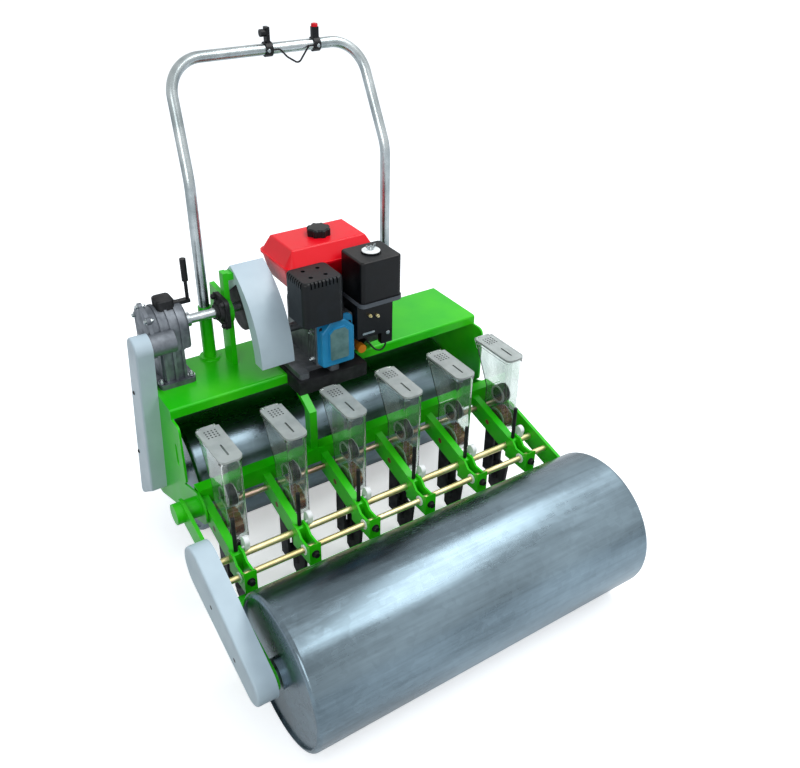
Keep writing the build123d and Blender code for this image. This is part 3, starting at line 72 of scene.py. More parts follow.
camera_data = bpy.data.cameras.new("camera")
camera_data.sensor_width = 36
camera_data.lens = 38.7
camera_data.clip_end = 60
camera = bpy.data.objects.new("camera", camera_data)
camera.matrix_world = Matrix.Translation(CAMERA_PLACE) @ Matrix((right, up, -ahead)).transposed().to_4x4()
bpy.context.scene.collection.objects.link(camera)
bpy.context.scene.camera = camera
print("camera at", tuple(round(v, 3) for v in CAMERA_PLACE))

# %% [markdown]
# ## Helpers for materials
# Paint makers and designers give colours as sRGB hex values, and the renderer works in linear light,
# so one function turns a hex value to linear. A second small function adds a node with its settings
# and links, so that each material below reads as a list of what it is made of.

# %% Colour and node helpers
def linear(hex_colour):
    """A hex sRGB colour as linear red, green, blue and alpha."""
    parts = [int(hex_colour[i:i + 2], 16) / 255 for i in (1, 3, 5)]
    return tuple(c / 12.92 if c <= 0.04045 else ((c + 0.055) / 1.055) ** 2.4 for c in parts) + (1.0,)


def add_node(material, kind, settings=None, **inputs):
    """Adds a node; settings are its properties, and each input is a value or another node's socket.

    An input is named by its label with _ for a space, or n0, n1 and so on for its number.
    """
    node = material.node_tree.nodes.new(kind)
    for key, value in (settings or {}).items():
        setattr(node, key, value)
    for key, value in inputs.items():
        numbered = key[0] == "n" and key[1:].isdigit()
        socket = node.inputs[int(key[1:]) if numbered else key.replace("_", " ")]
        if isinstance(value, bpy.types.NodeSocket):
            material.node_tree.links.new(value, socket)
        else:
            socket.default_value = value
    return node


def new_material(name):
    """An empty node material and its output node."""
    material = bpy.data.materials.new(name)
    material.use_nodes = True
    material.node_tree.nodes.clear()
    return material, add_node(material, "ShaderNodeOutputMaterial")


def finish_material(material, output, shader):
    """Joins the shader to the output."""
    material.node_tree.links.new(shader.outputs[0], output.inputs["Surface"])
    print("material", material.name)
    return material


def object_place(material):
    """Points in metres on the planter, which stay put on every piece."""
    return add_node(material, "ShaderNodeTexCoord").outputs["Object"]


def spots(material, size_mm, detail, stretch=(1, 1, 1)):
    """Soft noise whose blotches are about size_mm across, stretched along an axis by stretch."""
    scaled = add_node(
        material, "ShaderNodeVectorMath", {"operation": "MULTIPLY"},
        n0=object_place(material), n1=tuple(1 / s for s in stretch),
    )
    noise = add_node(
        material, "ShaderNodeTexNoise", Vector=scaled.outputs[0],
        Scale=1 / (size_mm * MM), Detail=detail, Roughness=0.55,
    )
    return noise.outputs[0]


def between(material, factor, low_hex, high_hex, low=0.35, high=0.65):
    """A colour that goes from low_hex to high_hex as factor goes from low to high."""
    share = add_node(material, "ShaderNodeMapRange", n0=factor, n1=low, n2=high)
    mix = add_node(material, "ShaderNodeMix", {"data_type": "RGBA"}, n0=share.outputs[0])
    mix.inputs[6].default_value = linear(low_hex)
    mix.inputs[7].default_value = linear(high_hex)
    return mix.outputs[2]


def ranged(material, factor, low_value, high_value, low=0.35, high=0.65):
    """A number that goes from low_value to high_value as factor goes from low to high."""
    return add_node(
        material, "ShaderNodeMapRange", n0=factor, n1=low, n2=high, n3=low_value, n4=high_value
    ).outputs[0]


def bump(material, height, depth_mm, strength):
    """A surface normal from a height between 0 and 1 that stands for depth_mm."""
    return add_node(
        material, "ShaderNodeBump", Strength=strength, Distance=depth_mm * MM, Height=height
    ).outputs[0]


print("helpers ready")

# %% [markdown]
# ## Baked enamels
# The frame is welded steel, sprayed with a bright green enamel and baked. Enamel flows out to a
# smooth, glossy skin with a faint orange peel of about 3 mm, and a rich colour that pales a little where
# dust lies. The paint is a dielectric: its colour is in the base, and its gloss in a thin clear coat
# over a slightly rougher base. The white covers, the red tank and the blue valve cover are made alike.

# %% Baked enamels
def baked_enamel(name, colour, dusty_colour, roughness, peel_mm=3.0, coat=0.12):
    """Sprayed and baked enamel on steel sheet."""
    material, output = new_material(name)
    dust = spots(material, size_mm=120, detail=3.0)
    peel = spots(material, peel_mm, detail=1.0)
    shader = add_node(
        material, "ShaderNodeBsdfPrincipled",
        Base_Color=between(material, dust, colour, dusty_colour, low=0.40, high=0.75),
        Roughness=ranged(material, dust, roughness, roughness + 0.12),
        Normal=bump(material, peel, depth_mm=0.08, strength=0.5),
    )
    shader.inputs["IOR"].default_value = 1.5
    shader.inputs["Specular IOR Level"].default_value = 0.28
    shader.inputs["Coat Weight"].default_value = coat
    shader.inputs["Coat Roughness"].default_value = 0.12
    return finish_material(material, output, shader)


green_enamel = baked_enamel("baked_enamel_green", "#1CBE00", "#3CCB10", 0.30)
white_enamel = baked_enamel("baked_enamel_white", "#C0D2DB", "#B0C2CC", 0.34)
red_enamel = baked_enamel("baked_enamel_red", "#E80018", "#F01028", 0.34, 2.0, 0.08)
blue_enamel = baked_enamel("baked_enamel_blue", "#1478A8", "#2A93C4", 0.32, 2.0)

# %% [markdown]
# ## Galvanised steel
# Both drums are rolled from hot-dip galvanised sheet. Zinc freezes on the steel in flat crystals, the
# spangle, 8 to 20 mm across, which show only faintly here. The zinc dulls in broad clouds, drawn out
# along the drum's length, and rolling and use leave fine marks that run the same way. Seen as a whole it
# is a soft mirror with streaks.

# %% Galvanised steel
SPANGLE_MM, SPANGLE_SHARE, STREAK_SHARE = 14, 0.05, 0.22


def galvanised_sheet(name):
    """Hot-dip galvanised steel sheet: crystals, clouds and fine streaks."""
    material, output = new_material(name)
    place = object_place(material)
    crystals = add_node(
        material, "ShaderNodeTexVoronoi", Vector=place, Scale=1 / (SPANGLE_MM * MM), Randomness=1.0,
    )
    grey = add_node(material, "ShaderNodeSeparateColor", Color=crystals.outputs["Color"])
    clouds = spots(material, size_mm=150, detail=4.0, stretch=(3.5, 1, 1))
    streaks = spots(material, size_mm=7, detail=3.0, stretch=(22, 1, 1))
    tone = clouds
    for layer, share in ((grey.outputs[0], SPANGLE_SHARE), (streaks, STREAK_SHARE)):
        tone = add_node(
            material, "ShaderNodeMath", {"operation": "MULTIPLY_ADD"}, n0=layer, n1=share, n2=tone,
        ).outputs[0]
    shader = add_node(
        material, "ShaderNodeBsdfPrincipled",
        Base_Color=between(material, tone, "#59676F", "#899DA9", low=0.45, high=0.85),
        Roughness=ranged(material, tone, 0.24, 0.34, low=0.45, high=0.85),
        Normal=bump(material, tone, depth_mm=0.20, strength=0.22),
    )
    shader.inputs["Metallic"].default_value = 1.0
    return finish_material(material, output, shader)


galvanised = galvanised_sheet("galvanised_steel_sheet")

# %% [markdown]
# ## Bare metals
# The handlebar is drawn steel tube, zinc plated; the rods are plated yellow or pinkish; the engine and
# gearbox are cast in aluminium, with the sand's grain on them. Each is a metal, so its colour tints its
# reflections, and what tells them apart is the grain and how rough it is.

# %% Bare metals
def plated_steel(name, light, dark, roughness, grain_mm=2.0):
    """Drawn and zinc-plated steel, with a fine grain and soft clouds."""
    material, output = new_material(name)
    clouds = spots(material, size_mm=60, detail=3.0)
    grain = spots(material, grain_mm, detail=2.0)
    shader = add_node(
        material, "ShaderNodeBsdfPrincipled",
        Base_Color=between(material, clouds, dark, light),
        Roughness=ranged(material, grain, roughness, roughness + 0.12),
        Normal=bump(material, grain, depth_mm=0.05, strength=0.4),
    )
    shader.inputs["Metallic"].default_value = 1.0
    return finish_material(material, output, shader)


CAST_GRAIN_MM = 1.6


def cast_metal(name, light, dark, roughness=0.5):
    """Sand or die cast aluminium: a fine pebbled skin, darker and rougher in soft patches of grime."""
    material, output = new_material(name)
    grain = spots(material, CAST_GRAIN_MM, detail=3.0)
    grime = spots(material, size_mm=35, detail=3.0)
    shader = add_node(
        material, "ShaderNodeBsdfPrincipled",
        Base_Color=between(material, grime, dark, light, low=0.30, high=0.65),
        Roughness=ranged(material, grime, roughness + 0.12, roughness),
        Normal=bump(material, grain, depth_mm=0.25, strength=0.6),
    )
    shader.inputs["Metallic"].default_value = 0.85
    return finish_material(material, output, shader)


plated_tube = plated_steel("zinc_plated_tube", "#BBC3C5", "#929C9E", 0.24)
plated_yellow = plated_steel("yellow_zinc_plated_rod", "#EDE3B4", "#CFC08A", 0.42)
plated_pink = plated_steel("pinkish_zinc_plated_rod", "#D9BFAE", "#B0917E", 0.32)
turned_steel = plated_steel("turned_steel", "#C9CFD2", "#8E989C", 0.26, 1.2)
cast_aluminium = cast_metal("cast_aluminium", "#7E848B", "#555B62")
engine_casting = cast_metal("die_cast_engine_aluminium", "#7C8185", "#54595D", 0.45)
cover_metal = cast_metal("worn_blue_grey_aluminium", "#6E8F8C", "#4F6F70", 0.42)
dark_iron = cast_metal("blackened_iron", "#3A3B3D", "#1F2022", 0.55)

# %% [markdown]
# ## Plastics
# The hoppers and their lids are clear moulded plastic, slightly grey-green where it is thick and
# scratched dull by seed. The wheels, knobs and housings are moulded and solid coloured: a fine spark
# texture, some sheen and no metal. The muffler's heatproof enamel has the same kind of skin.

# %% Plastics
def moulded_plastic(name, colour, worn, roughness, grain_mm=1.0):
    """Injection moulded plastic with a fine spark-eroded texture."""
    material, output = new_material(name)
    grain = spots(material, grain_mm, detail=2.0)
    rubbed = spots(material, size_mm=45, detail=3.0)
    shader = add_node(
        material, "ShaderNodeBsdfPrincipled",
        Base_Color=between(material, rubbed, colour, worn, low=0.45, high=0.8),
        Roughness=ranged(material, rubbed, roughness, roughness + 0.1),
        Normal=bump(material, grain, depth_mm=0.06, strength=0.5),
    )
    shader.inputs["IOR"].default_value = 1.46
    shader.inputs["Specular IOR Level"].default_value = 0.3
    return finish_material(material, output, shader)


def clear_plastic(name, tint, pale_tint, polish, haze_roughness, see_through):
    """Clear moulded plastic: light passes through its real walls, and seed dust makes it hazy in places."""
    material, output = new_material(name)
    haze = spots(material, size_mm=40, detail=2.0, stretch=(1, 1, 3))
    scuffs = spots(material, size_mm=6, detail=1.0, stretch=(1, 1, 10))
    shader = add_node(
        material, "ShaderNodeBsdfPrincipled",
        Base_Color=between(material, haze, tint, pale_tint),
        Roughness=ranged(material, haze, polish, haze_roughness),
        Normal=bump(material, scuffs, depth_mm=0.03, strength=0.25),
    )
    shader.inputs["IOR"].default_value = 1.49
    shader.inputs["Transmission Weight"].default_value = see_through
    return finish_material(material, output, shader)


black_plastic = moulded_plastic("black_moulded_plastic", "#05070A", "#12171B", 0.34)
grey_plastic = moulded_plastic("grey_moulded_plastic", "#565C63", "#6A7077", 0.45)
black_heatproof = moulded_plastic("black_heatproof_enamel", "#070B0E", "#161C22", 0.36, 1.5)
brown_plastic = moulded_plastic("brown_moulded_plastic", "#6B3320", "#8A5138", 0.42)
white_nylon = moulded_plastic("white_nylon", "#F2F4F3", "#E2E6E4", 0.35)
pale_plastic = moulded_plastic("pale_grey_wheel_plastic", "#A9B0AE", "#C4CAC8", 0.35)
orange_plastic = moulded_plastic("orange_moulded_plastic", "#E8901A", "#D9701A", 0.35)
rubber_sheath = moulded_plastic("black_cable_sheath", "#0C0E10", "#1C2023", 0.5)
hopper_clear = clear_plastic("clear_moulded_hopper", "#DDE5E1", "#F0F4F2", 0.01, 0.07, 0.97)
lid_clear = clear_plastic("frosted_moulded_lid", "#BEC5C2", "#D3D9D6", 0.16, 0.26, 0.50)

# %% [markdown]
# ## Dress the imported pieces
# Each imported piece gets one of these finishes. A table keeps the choice in one place, and the pieces
# it leaves out are printed.

# %% Finishes of the imported pieces
finishes = {
    green_enamel: [
        "front_arms", "tie_bar", "pivot_bosses", "deck", "side_plates", "cross_beam", "row_arms",
        "row_brackets", "bearing_post", "engine_post", "handle_sockets",
    ],
    galvanised: ["front_drum", "rear_drum"],
    plated_tube: ["handlebar"],
    cast_aluminium: ["gearbox"],
    engine_casting: ["crankcase", "cylinder"],
    turned_steel: ["drive_shaft"],
    plated_yellow: ["front_rod", "metering_shaft"],
    plated_pink: ["rear_rod"],
    hopper_clear: [f"hopper_{k}" for k in range(1, 7)],
    lid_clear: [f"lid_{k}" for k in range(1, 7)],
    brown_plastic: ["seed_wheels"],
    black_plastic: [
        "brush_wheels", "fuel_cap", "air_cleaner", "gear_lever", "stop_switch", "throttle_lever",
        "recoil_starter", "carburettor",
    ],
    dark_iron: [
        "furrow_openers", "row_rods", "front_bolts", "belt_pulleys", "engine_bracket", "gearbox_cap",
    ],
    white_nylon: ["row_levers"],
    white_enamel: ["front_chain_cover", "rear_chain_cover", "belt_guard"],
    red_enamel: ["fuel_tank"],
    black_heatproof: ["muffler"],
    blue_enamel: ["valve_cover"],
    orange_plastic: ["oil_cap"],
    rubber_sheath: ["switch_cable"],
}
dressed = set()
for material, names in finishes.items():
    for name in names:
        mesh = nodes[name].data
        mesh.materials.clear()
        mesh.materials.append(material)
        dressed.add(name)
print("dressed", len(dressed), "left", sorted(set(nodes) - dressed))

# %% [markdown]
# ## Helpers for small parts
# Bolts, washers and knobs are round or six-sided about one axis, as if they came off a lathe. So
# one helper turns a profile, a list of distances along the axis and radii in millimetres, and a second
# one makes a hex bolt of such turned forms. Flat forms are made from an outline, and wires from points.
# Several bolts that ride together share one mesh, which keeps the list of pieces short. Their places
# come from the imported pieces' own boxes, as a share of each side, so they follow the planter if its
# sizes change.

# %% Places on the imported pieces
LEFT, RIGHT, FRONT, UP = Vector((-1, 0, 0)), Vector((1, 0, 0)), Vector((0, -1, 0)), Vector((0, 0, 1))


def spot(node, x_share, y_share, z_share):
    """A point of a node's box: 0 is its low side and 1 its high side, along each axis."""
    low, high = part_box(node)
    return Vector(low[i] + (high[i] - low[i]) * share for i, share in enumerate((x_share, y_share, z_share)))


def shifted(point, x_mm=0.0, y_mm=0.0, z_mm=0.0):
    """A point moved by millimetres."""
    return Vector(point) + Vector((x_mm, y_mm, z_mm)) * MM


shaft_middle = spot("drive_shaft", 0.5, 0.5, 0.5)
print("drive shaft middle", tuple(round(v, 4) for v in shaft_middle))

# %% Turned forms
SHARP = math.radians(35)


def turn(build, profile, place, along, sides=24, bored=False):
    """Adds a turned form to a bmesh: each row of profile is a distance along the axis and a radius, in mm.

    A bored form's last ring joins its first one, which makes the wall of the bore.
    """
    along = Vector(along).normalized()
    across = along.orthogonal().normalized()
    third = along.cross(across)
    rings = []
    for distance, radius in profile:
        centre = Vector(place) + along * distance * MM
        count = sides if radius > 0 else 1
        angles = (2 * math.pi * k / sides for k in range(count))
        rings.append([
            build.verts.new(centre + (across * math.cos(a) + third * math.sin(a)) * radius * MM)
            for a in angles
        ])
    followers = rings[1:] + rings[:1] if bored else rings[1:]
    for first, second in zip(rings, followers):
        for k in range(sides):
            corners = (first[k % len(first)], first[(k + 1) % len(first)],
                       second[(k + 1) % len(second)], second[k % len(second)])
            face = list(dict.fromkeys(corners))
            if len(face) > 2:
                build.faces.new(face)


def bolt(build, place, along, width, stud=0.0):
    """A hex bolt or nut with a washer; width is across its flats and stud its thread's stand, in mm."""
    washer, rim, corner = width * 0.12, width * 0.85, width / 2 / math.cos(math.pi / 6)
    shoulder, head = washer + width * 0.48, washer + width * 0.6
    turn(build, [(0, 0), (0, rim), (washer, rim), (washer, 0)], place, along)
    hexagon = [(washer, 0), (washer, corner), (shoulder, corner), (head, corner * 0.84), (head, 0)]
    turn(build, hexagon, place, along, 6)
    if stud > 0:
        thread, top = width * 0.3, head + stud
        rod = [(washer, 0), (washer, thread), (top - 1, thread), (top, width * 0.22), (top, 0)]
        turn(build, rod, place, along, 16)


def make_piece(name, build, material, body):
    """Turns a bmesh into a piece that rides on a body and has the given finish."""
    bmesh.ops.recalc_face_normals(build, faces=build.faces)
    for edge in build.edges:
        edge.smooth = len(edge.link_faces) == 2 and edge.calc_face_angle(0) < SHARP
    for face in build.faces:
        face.smooth = True
    mesh = bpy.data.meshes.new(name)
    build.to_mesh(mesh)
    build.free()
    mesh.materials.append(material)
    piece = bpy.data.objects.new(name, mesh)
    bpy.context.scene.collection.objects.link(piece)
    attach(piece, body)
    print("piece", name, "faces", len(mesh.polygons))
    return piece


def wire(name, points, radius_mm, material, body, steps=8):
    """A bent wire, hose or weld bead through points, as a smooth tube of a given radius."""
    line = bpy.data.curves.new(name, "CURVE")
    line.dimensions = "3D"
    line.bevel_depth = radius_mm * MM
    line.bevel_resolution = 4
    line.resolution_u = steps
    line.use_fill_caps = True
    run = line.splines.new("NURBS")
    run.points.add(len(points) - 1)
    for target, point in zip(run.points, points):
        target.co = (*point, 1)
    run.use_endpoint_u = True
    run.order_u = 3
    line.materials.append(material)
    piece = bpy.data.objects.new(name, line)
    bpy.context.scene.collection.objects.link(piece)
    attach(piece, body)
    print("wire", name, "points", len(points))
    return piece


print("turned forms and pieces ready")

# %% Flat forms
def plate(build, outline, middle, thick_mm, along):
    """Adds a flat plate: outline is (across, up) in mm round middle, thick_mm is how far it stands out."""
    along = Vector(along).normalized()
    across = along.cross(UP) if abs(along.z) < 0.9 else RIGHT
    up = across.cross(along)
    base = [Vector(middle) + (across * x + up * z) * MM for x, z in outline]
    first = [build.verts.new(point) for point in base]
    second = [build.verts.new(point + along * thick_mm * MM) for point in base]
    build.faces.new(first)
    build.faces.new(second)
    for k in range(len(base)):
        n = (k + 1) % len(base)
        build.faces.new((first[k], first[n], second[n], second[k]))


def rounded_corners(width_mm, depth_mm, radius_mm, steps=6):
    """A rounded rectangle's outline, as points in mm round its middle."""
    points = []
    for quarter in range(4):
        x_side, y_side = (1 if quarter in (0, 3) else -1), (1 if quarter in (0, 1) else -1)
        for k in range(steps + 1):
            angle = math.pi / 2 * (quarter + k / steps)
            points.append(((width_mm / 2 - radius_mm) * x_side + math.cos(angle) * radius_mm,
                           (depth_mm / 2 - radius_mm) * y_side + math.sin(angle) * radius_mm))
    return points


def ring_wall(build, outer, inner, middle, height_mm):
    """Adds a closed ring wall: outer and inner are outlines in mm round middle, height_mm is along z."""
    levels = ((outer, 0), (outer, height_mm), (inner, height_mm), (inner, 0))
    rings = [[build.verts.new(shifted(middle, x, y, z)) for x, y in points] for points, z in levels]
    for first, second in zip(rings, rings[1:] + rings[:1]):
        for k in range(len(first)):
            n = (k + 1) % len(first)
            build.faces.new((first[k], first[n], second[n], second[k]))


print("small part helpers ready")

# %% [markdown]
# ## Screws and bolts of the covers and drives
# The white covers are held by small dark screws, the gearbox by six bolts round its flange and four on
# its foot, and the shaft runs in a cast bearing unit with a square flange and four bolts. All of these
# are plated or blackened steel. They are small in the picture, but they tell the eye the planter's size.

# %% Cover screws
# the front cover's screws are countersunk, because its face is the planter's widest point
SUNK_STAND_MM, PAN_STAND_MM = 0.05, 2.4
SCREW_RADIUS_MM, CROWN_RADIUS_MM, SOCKET_RADIUS_MM, SOCKET_FLOOR_RADIUS_MM = 5, 3.6, 1.6, 1.2
# each row: node, share of its depth along y, share of its height, how far the head stands out
COVER_SCREWS = (
    ("front_chain_cover", 0.61, 0.55, SUNK_STAND_MM), ("front_chain_cover", 0.31, 0.27, SUNK_STAND_MM),
    ("rear_chain_cover", 0.41, 0.69, PAN_STAND_MM), ("rear_chain_cover", 0.73, 0.30, PAN_STAND_MM),
)
build = bmesh.new()
for node, y_share, z_share, stand in COVER_SCREWS:
    head = [
        (-1, 0), (-1, SCREW_RADIUS_MM), (stand * 0.3, SCREW_RADIUS_MM), (stand, CROWN_RADIUS_MM),
        (stand, SOCKET_RADIUS_MM), (stand * 0.5, SOCKET_FLOOR_RADIUS_MM), (stand * 0.5, 0),
    ]
    turn(build, head, spot(node, 0, y_share, z_share), LEFT, 20)
make_piece("cover_screws", build, dark_iron, "frame")

# %% Gearbox bolts
ARCH_OFFSET_MM, FLANGE_INSET_MM, FLANGE_THICK_MM = 6, 7, 8
FLANGE_BOLT_CIRCLE_MM, FLANGE_BOLTS, FLANGE_TURN = 52, 6, math.radians(15)
FLANGE_BOLT_MM, FOOT_BOLT_MM, STUD_MM = 8, 10, 3
FOOT_BOLT_INSET_MM, FOOT_THICK_MM, FOOT_WIDTH_MM, FOOT_DEPTH_MM = 7, 12, 84, 100
flange_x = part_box("gearbox")[0].x + FLANGE_INSET_MM * MM
flange_middle = shifted((flange_x, shaft_middle.y, shaft_middle.z), 0, ARCH_OFFSET_MM)
build = bmesh.new()
for k in range(FLANGE_BOLTS):
    angle = FLANGE_TURN + 2 * math.pi * k / FLANGE_BOLTS
    reach = (math.cos(angle) * FLANGE_BOLT_CIRCLE_MM, math.sin(angle) * FLANGE_BOLT_CIRCLE_MM)
    bolt(build, shifted(flange_middle, 0, *reach), LEFT, FLANGE_BOLT_MM)
    bolt(build, shifted(flange_middle, FLANGE_THICK_MM, *reach), RIGHT, FLANGE_BOLT_MM, STUD_MM)
gearbox_right, gearbox_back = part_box("gearbox")[1].x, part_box("gearbox")[1].y
foot_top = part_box("gearbox")[0].z + FOOT_THICK_MM * MM
for y_mm in (-FOOT_BOLT_INSET_MM, FOOT_BOLT_INSET_MM - FOOT_DEPTH_MM):
    for x_mm in (-FOOT_BOLT_INSET_MM, FOOT_BOLT_INSET_MM - FOOT_WIDTH_MM):
        place = shifted((gearbox_right, gearbox_back, foot_top), x_mm, y_mm)
        bolt(build, place, UP, FOOT_BOLT_MM, STUD_MM)
make_piece("gearbox_bolts", build, plated_tube, "frame")

# %% Shaft bearing
BEARING_WIDTH_MM, BEARING_CORNER_MM, BEARING_THICK_MM, BEARING_BOLT_MM = 72, 12, 9, 12
BEARING_BOSS_MM, BEARING_BOLT_OFFSET_MM, SHAFT_BORE_MM = 26, 26, 11.2
bearing_face = Vector((spot("bearing_post", 0, 0, 0).x, shaft_middle.y, shaft_middle.z))
build = bmesh.new()
flange = rounded_corners(BEARING_WIDTH_MM, BEARING_WIDTH_MM, BEARING_CORNER_MM)
plate(build, flange, bearing_face, BEARING_THICK_MM, LEFT)
boss = [(0, SHAFT_BORE_MM), (0, BEARING_BOSS_MM + 4)]
for stand, radius in ((3, BEARING_BOSS_MM), (8, BEARING_BOSS_MM - 3), (8, 18), (14, 17), (14, SHAFT_BORE_MM)):
    boss.append((BEARING_THICK_MM + stand, radius))
turn(build, boss, bearing_face, LEFT, 40, True)
for y_side in (-1, 1):
    for z_side in (-1, 1):
        offset = (-BEARING_THICK_MM, BEARING_BOLT_OFFSET_MM * y_side, BEARING_BOLT_OFFSET_MM * z_side)
        bolt(build, shifted(bearing_face, *offset), LEFT, BEARING_BOLT_MM, 2)
make_piece("shaft_bearing", build, dark_iron, "frame")

# %% [markdown]
# ## The engine's small parts
# What makes an engine read as one is its fasteners and its wires. The cylinder's cover has four bolts,
# the exhaust hangs on two bright studs with nuts, the air cleaner's cover is held by a wing nut on a
# white washer, and a black lead loops under the control box towards the crankcase.

# %% Valve cover and exhaust fasteners
COVER_BOLT_SHARES = ((0.10, 0.10), (0.90, 0.10), (0.10, 0.80), (0.90, 0.80))
COVER_BOLT_MM, COVER_BOLT_SETBACK_MM = 7, 5
EXHAUST_NUT_SHARES = ((0.35, 0.92), (0.35, 0.72), (0.35, 0.12))
EXHAUST_NUT_MM, EXHAUST_STUD_MM = 9, 4
build = bmesh.new()
for x_share, z_share in COVER_BOLT_SHARES:
    place = shifted(spot("valve_cover", x_share, 1, z_share), 0, -COVER_BOLT_SETBACK_MM)
    bolt(build, place, FRONT, COVER_BOLT_MM)
make_piece("valve_cover_bolts", build, dark_iron, "frame")
build = bmesh.new()
for y_share, z_share in EXHAUST_NUT_SHARES:
    bolt(build, spot("cylinder", 0, y_share, z_share), LEFT, EXHAUST_NUT_MM, EXHAUST_STUD_MM)
make_piece("exhaust_nuts", build, plated_tube, "frame")

# %% Air cleaner washer and wing nut
WASHER_RADIUS_MM, WASHER_THICK_MM = 21, 1.6
wing_seat = spot("air_cleaner", 0.5, 0.5, 1)
build = bmesh.new()
washer = [
    (0, 0), (0, WASHER_RADIUS_MM), (WASHER_THICK_MM * 0.6, WASHER_RADIUS_MM),
    (WASHER_THICK_MM, WASHER_RADIUS_MM - 1), (WASHER_THICK_MM, 0),
]
turn(build, washer, wing_seat, UP, 48)
make_piece("cleaner_washer", build, white_nylon, "frame")


# across and up from the nut's middle, in mm
EAR_OUTLINE = ((4, 1.5), (9, 3.5), (13, 8), (12.5, 12), (9, 12.5), (6, 8), (4, 6.5))
EAR_HALF_THICK_MM = 1.2


def wing(build, seat, side):
    """Adds one ear of a wing nut: a flat rounded tab that leans out from the nut's body."""
    faces = []
    for y in (-EAR_HALF_THICK_MM, EAR_HALF_THICK_MM):
        faces.append([build.verts.new(shifted(seat, x * side, y, z)) for x, z in EAR_OUTLINE])
    build.faces.new(faces[0])
    build.faces.new(faces[1])
    for k in range(len(EAR_OUTLINE)):
        n = (k + 1) % len(EAR_OUTLINE)
        build.faces.new((faces[0][k], faces[0][n], faces[1][n], faces[1][k]))


build = bmesh.new()
seat = shifted(wing_seat, 0, 0, WASHER_THICK_MM)
nut = [(0, 0), (0, 6), (5, 5), (7, 4.2), (7, 2.6), (10, 2.6), (10, 0)]
turn(build, nut, seat, UP, 24)
wing(build, seat, -1)
wing(build, seat, 1)
make_piece("cleaner_wing_nut", build, plated_tube, "frame")

# %% Valve cover panel
PANEL_WIDTH_MM, PANEL_HEIGHT_MM, PANEL_THICK_MM = 47, 78, 0.6
TOP_BEVEL_MM, FOOT_BEVEL_MM = 10, 3
half, top = PANEL_WIDTH_MM / 2, PANEL_HEIGHT_MM / 2
outline = (
    (-half, FOOT_BEVEL_MM - top), (FOOT_BEVEL_MM - half, -top), (half - FOOT_BEVEL_MM, -top),
    (half, FOOT_BEVEL_MM - top), (half, top - TOP_BEVEL_MM), (half - TOP_BEVEL_MM, top),
    (TOP_BEVEL_MM - half, top), (-half, top - TOP_BEVEL_MM),
)
build = bmesh.new()
plate(build, outline, spot("valve_cover", 0.5, 0, 0.5), PANEL_THICK_MM, FRONT)
make_piece("valve_cover_panel", build, cover_metal, "frame")

# %% Air cleaner seam
SEAM_FROM_MM, SEAM_TO_MM, SEAM_PROUD_MM, SEAM_ROUND_MM, SEAM_WALL_MM = 0.5, 11, 0.5, 12, 1.5
cleaner_low, cleaner_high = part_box("air_cleaner")
seam_foot = shifted(spot("air_cleaner", 0.5, 0.5, 0), 0, 0, SEAM_FROM_MM)
width_mm, depth_mm = (cleaner_high.x - cleaner_low.x) / MM, (cleaner_high.y - cleaner_low.y) / MM
outer = rounded_corners(width_mm + SEAM_PROUD_MM * 2, depth_mm + SEAM_PROUD_MM * 2, SEAM_ROUND_MM)
inner = rounded_corners(width_mm - SEAM_WALL_MM, depth_mm - SEAM_WALL_MM, SEAM_ROUND_MM - SEAM_WALL_MM / 2)
build = bmesh.new()
ring_wall(build, outer, inner, seam_foot, SEAM_TO_MM - SEAM_FROM_MM)
make_piece("cleaner_seam", build, grey_plastic, "frame")

# %% Control box levers and lead
LEVER_BAR_MM, LEVER_ROUND_MM, LEVER_THICK_MM, LEVER_GAP_MM = (33, 5), 2, 1.5, 0.5
# each profile: distance out of the box and radius, in mm
PIVOT = ((0, 0), (0, 3), (2.4, 3), (2.8, 2), (2.8, 0))
KNOB = ((0, 0), (0, 5), (2, 5), (2.8, 4), (2.8, 0))
JET = ((0, 0), (0, 4), (5, 4), (6, 2.6), (9, 2.6), (9, 0))
# across and down from the box's upper left front corner, in mm
BAR_AT, PIVOT_AT, KNOB_AT, JETS_AT = (29, -74), (41, -74), (82, -88), ((32, -29), (52, -34))
box_low, box_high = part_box("carburettor")
box_corner = Vector((box_low.x, box_low.y, box_high.z))
build = bmesh.new()
bar_place = shifted(box_corner, BAR_AT[0], -LEVER_GAP_MM, BAR_AT[1])
plate(build, rounded_corners(*LEVER_BAR_MM, LEVER_ROUND_MM), bar_place, LEVER_THICK_MM, FRONT)
for profile, (x_mm, z_mm) in ((PIVOT, PIVOT_AT), (KNOB, KNOB_AT)):
    turn(build, profile, shifted(box_corner, x_mm, 0, z_mm), FRONT, 20)
make_piece("choke_lever", build, plated_tube, "frame")
build = bmesh.new()
for x_mm, z_mm in JETS_AT:
    turn(build, JET, shifted(box_corner, x_mm, 0, z_mm), FRONT, 20)
make_piece("carburettor_jets", build, plated_yellow, "frame")

LEAD_RADIUS_MM = 2.2
# steps in mm from the box's lower right front corner
LEAD_RUN = ((-14, 7, 2), (-15, 5, -9), (-27, 3, -19), (-44, 3, -14), (-58, 3, 4), (-68, 4, 20), (-70, 7, 34))
lead_start = Vector((box_high.x, box_low.y, box_low.z))
lead = [shifted(lead_start, *step) for step in LEAD_RUN]
wire("engine_lead", lead, LEAD_RADIUS_MM, rubber_sheath, "frame")

# %% [markdown]
# ## Controls
# The stop switch has a red push button, and both clamps close with a small screw. The throttle's knob
# is black. They sit on the top tube, in easy reach of the thumb.

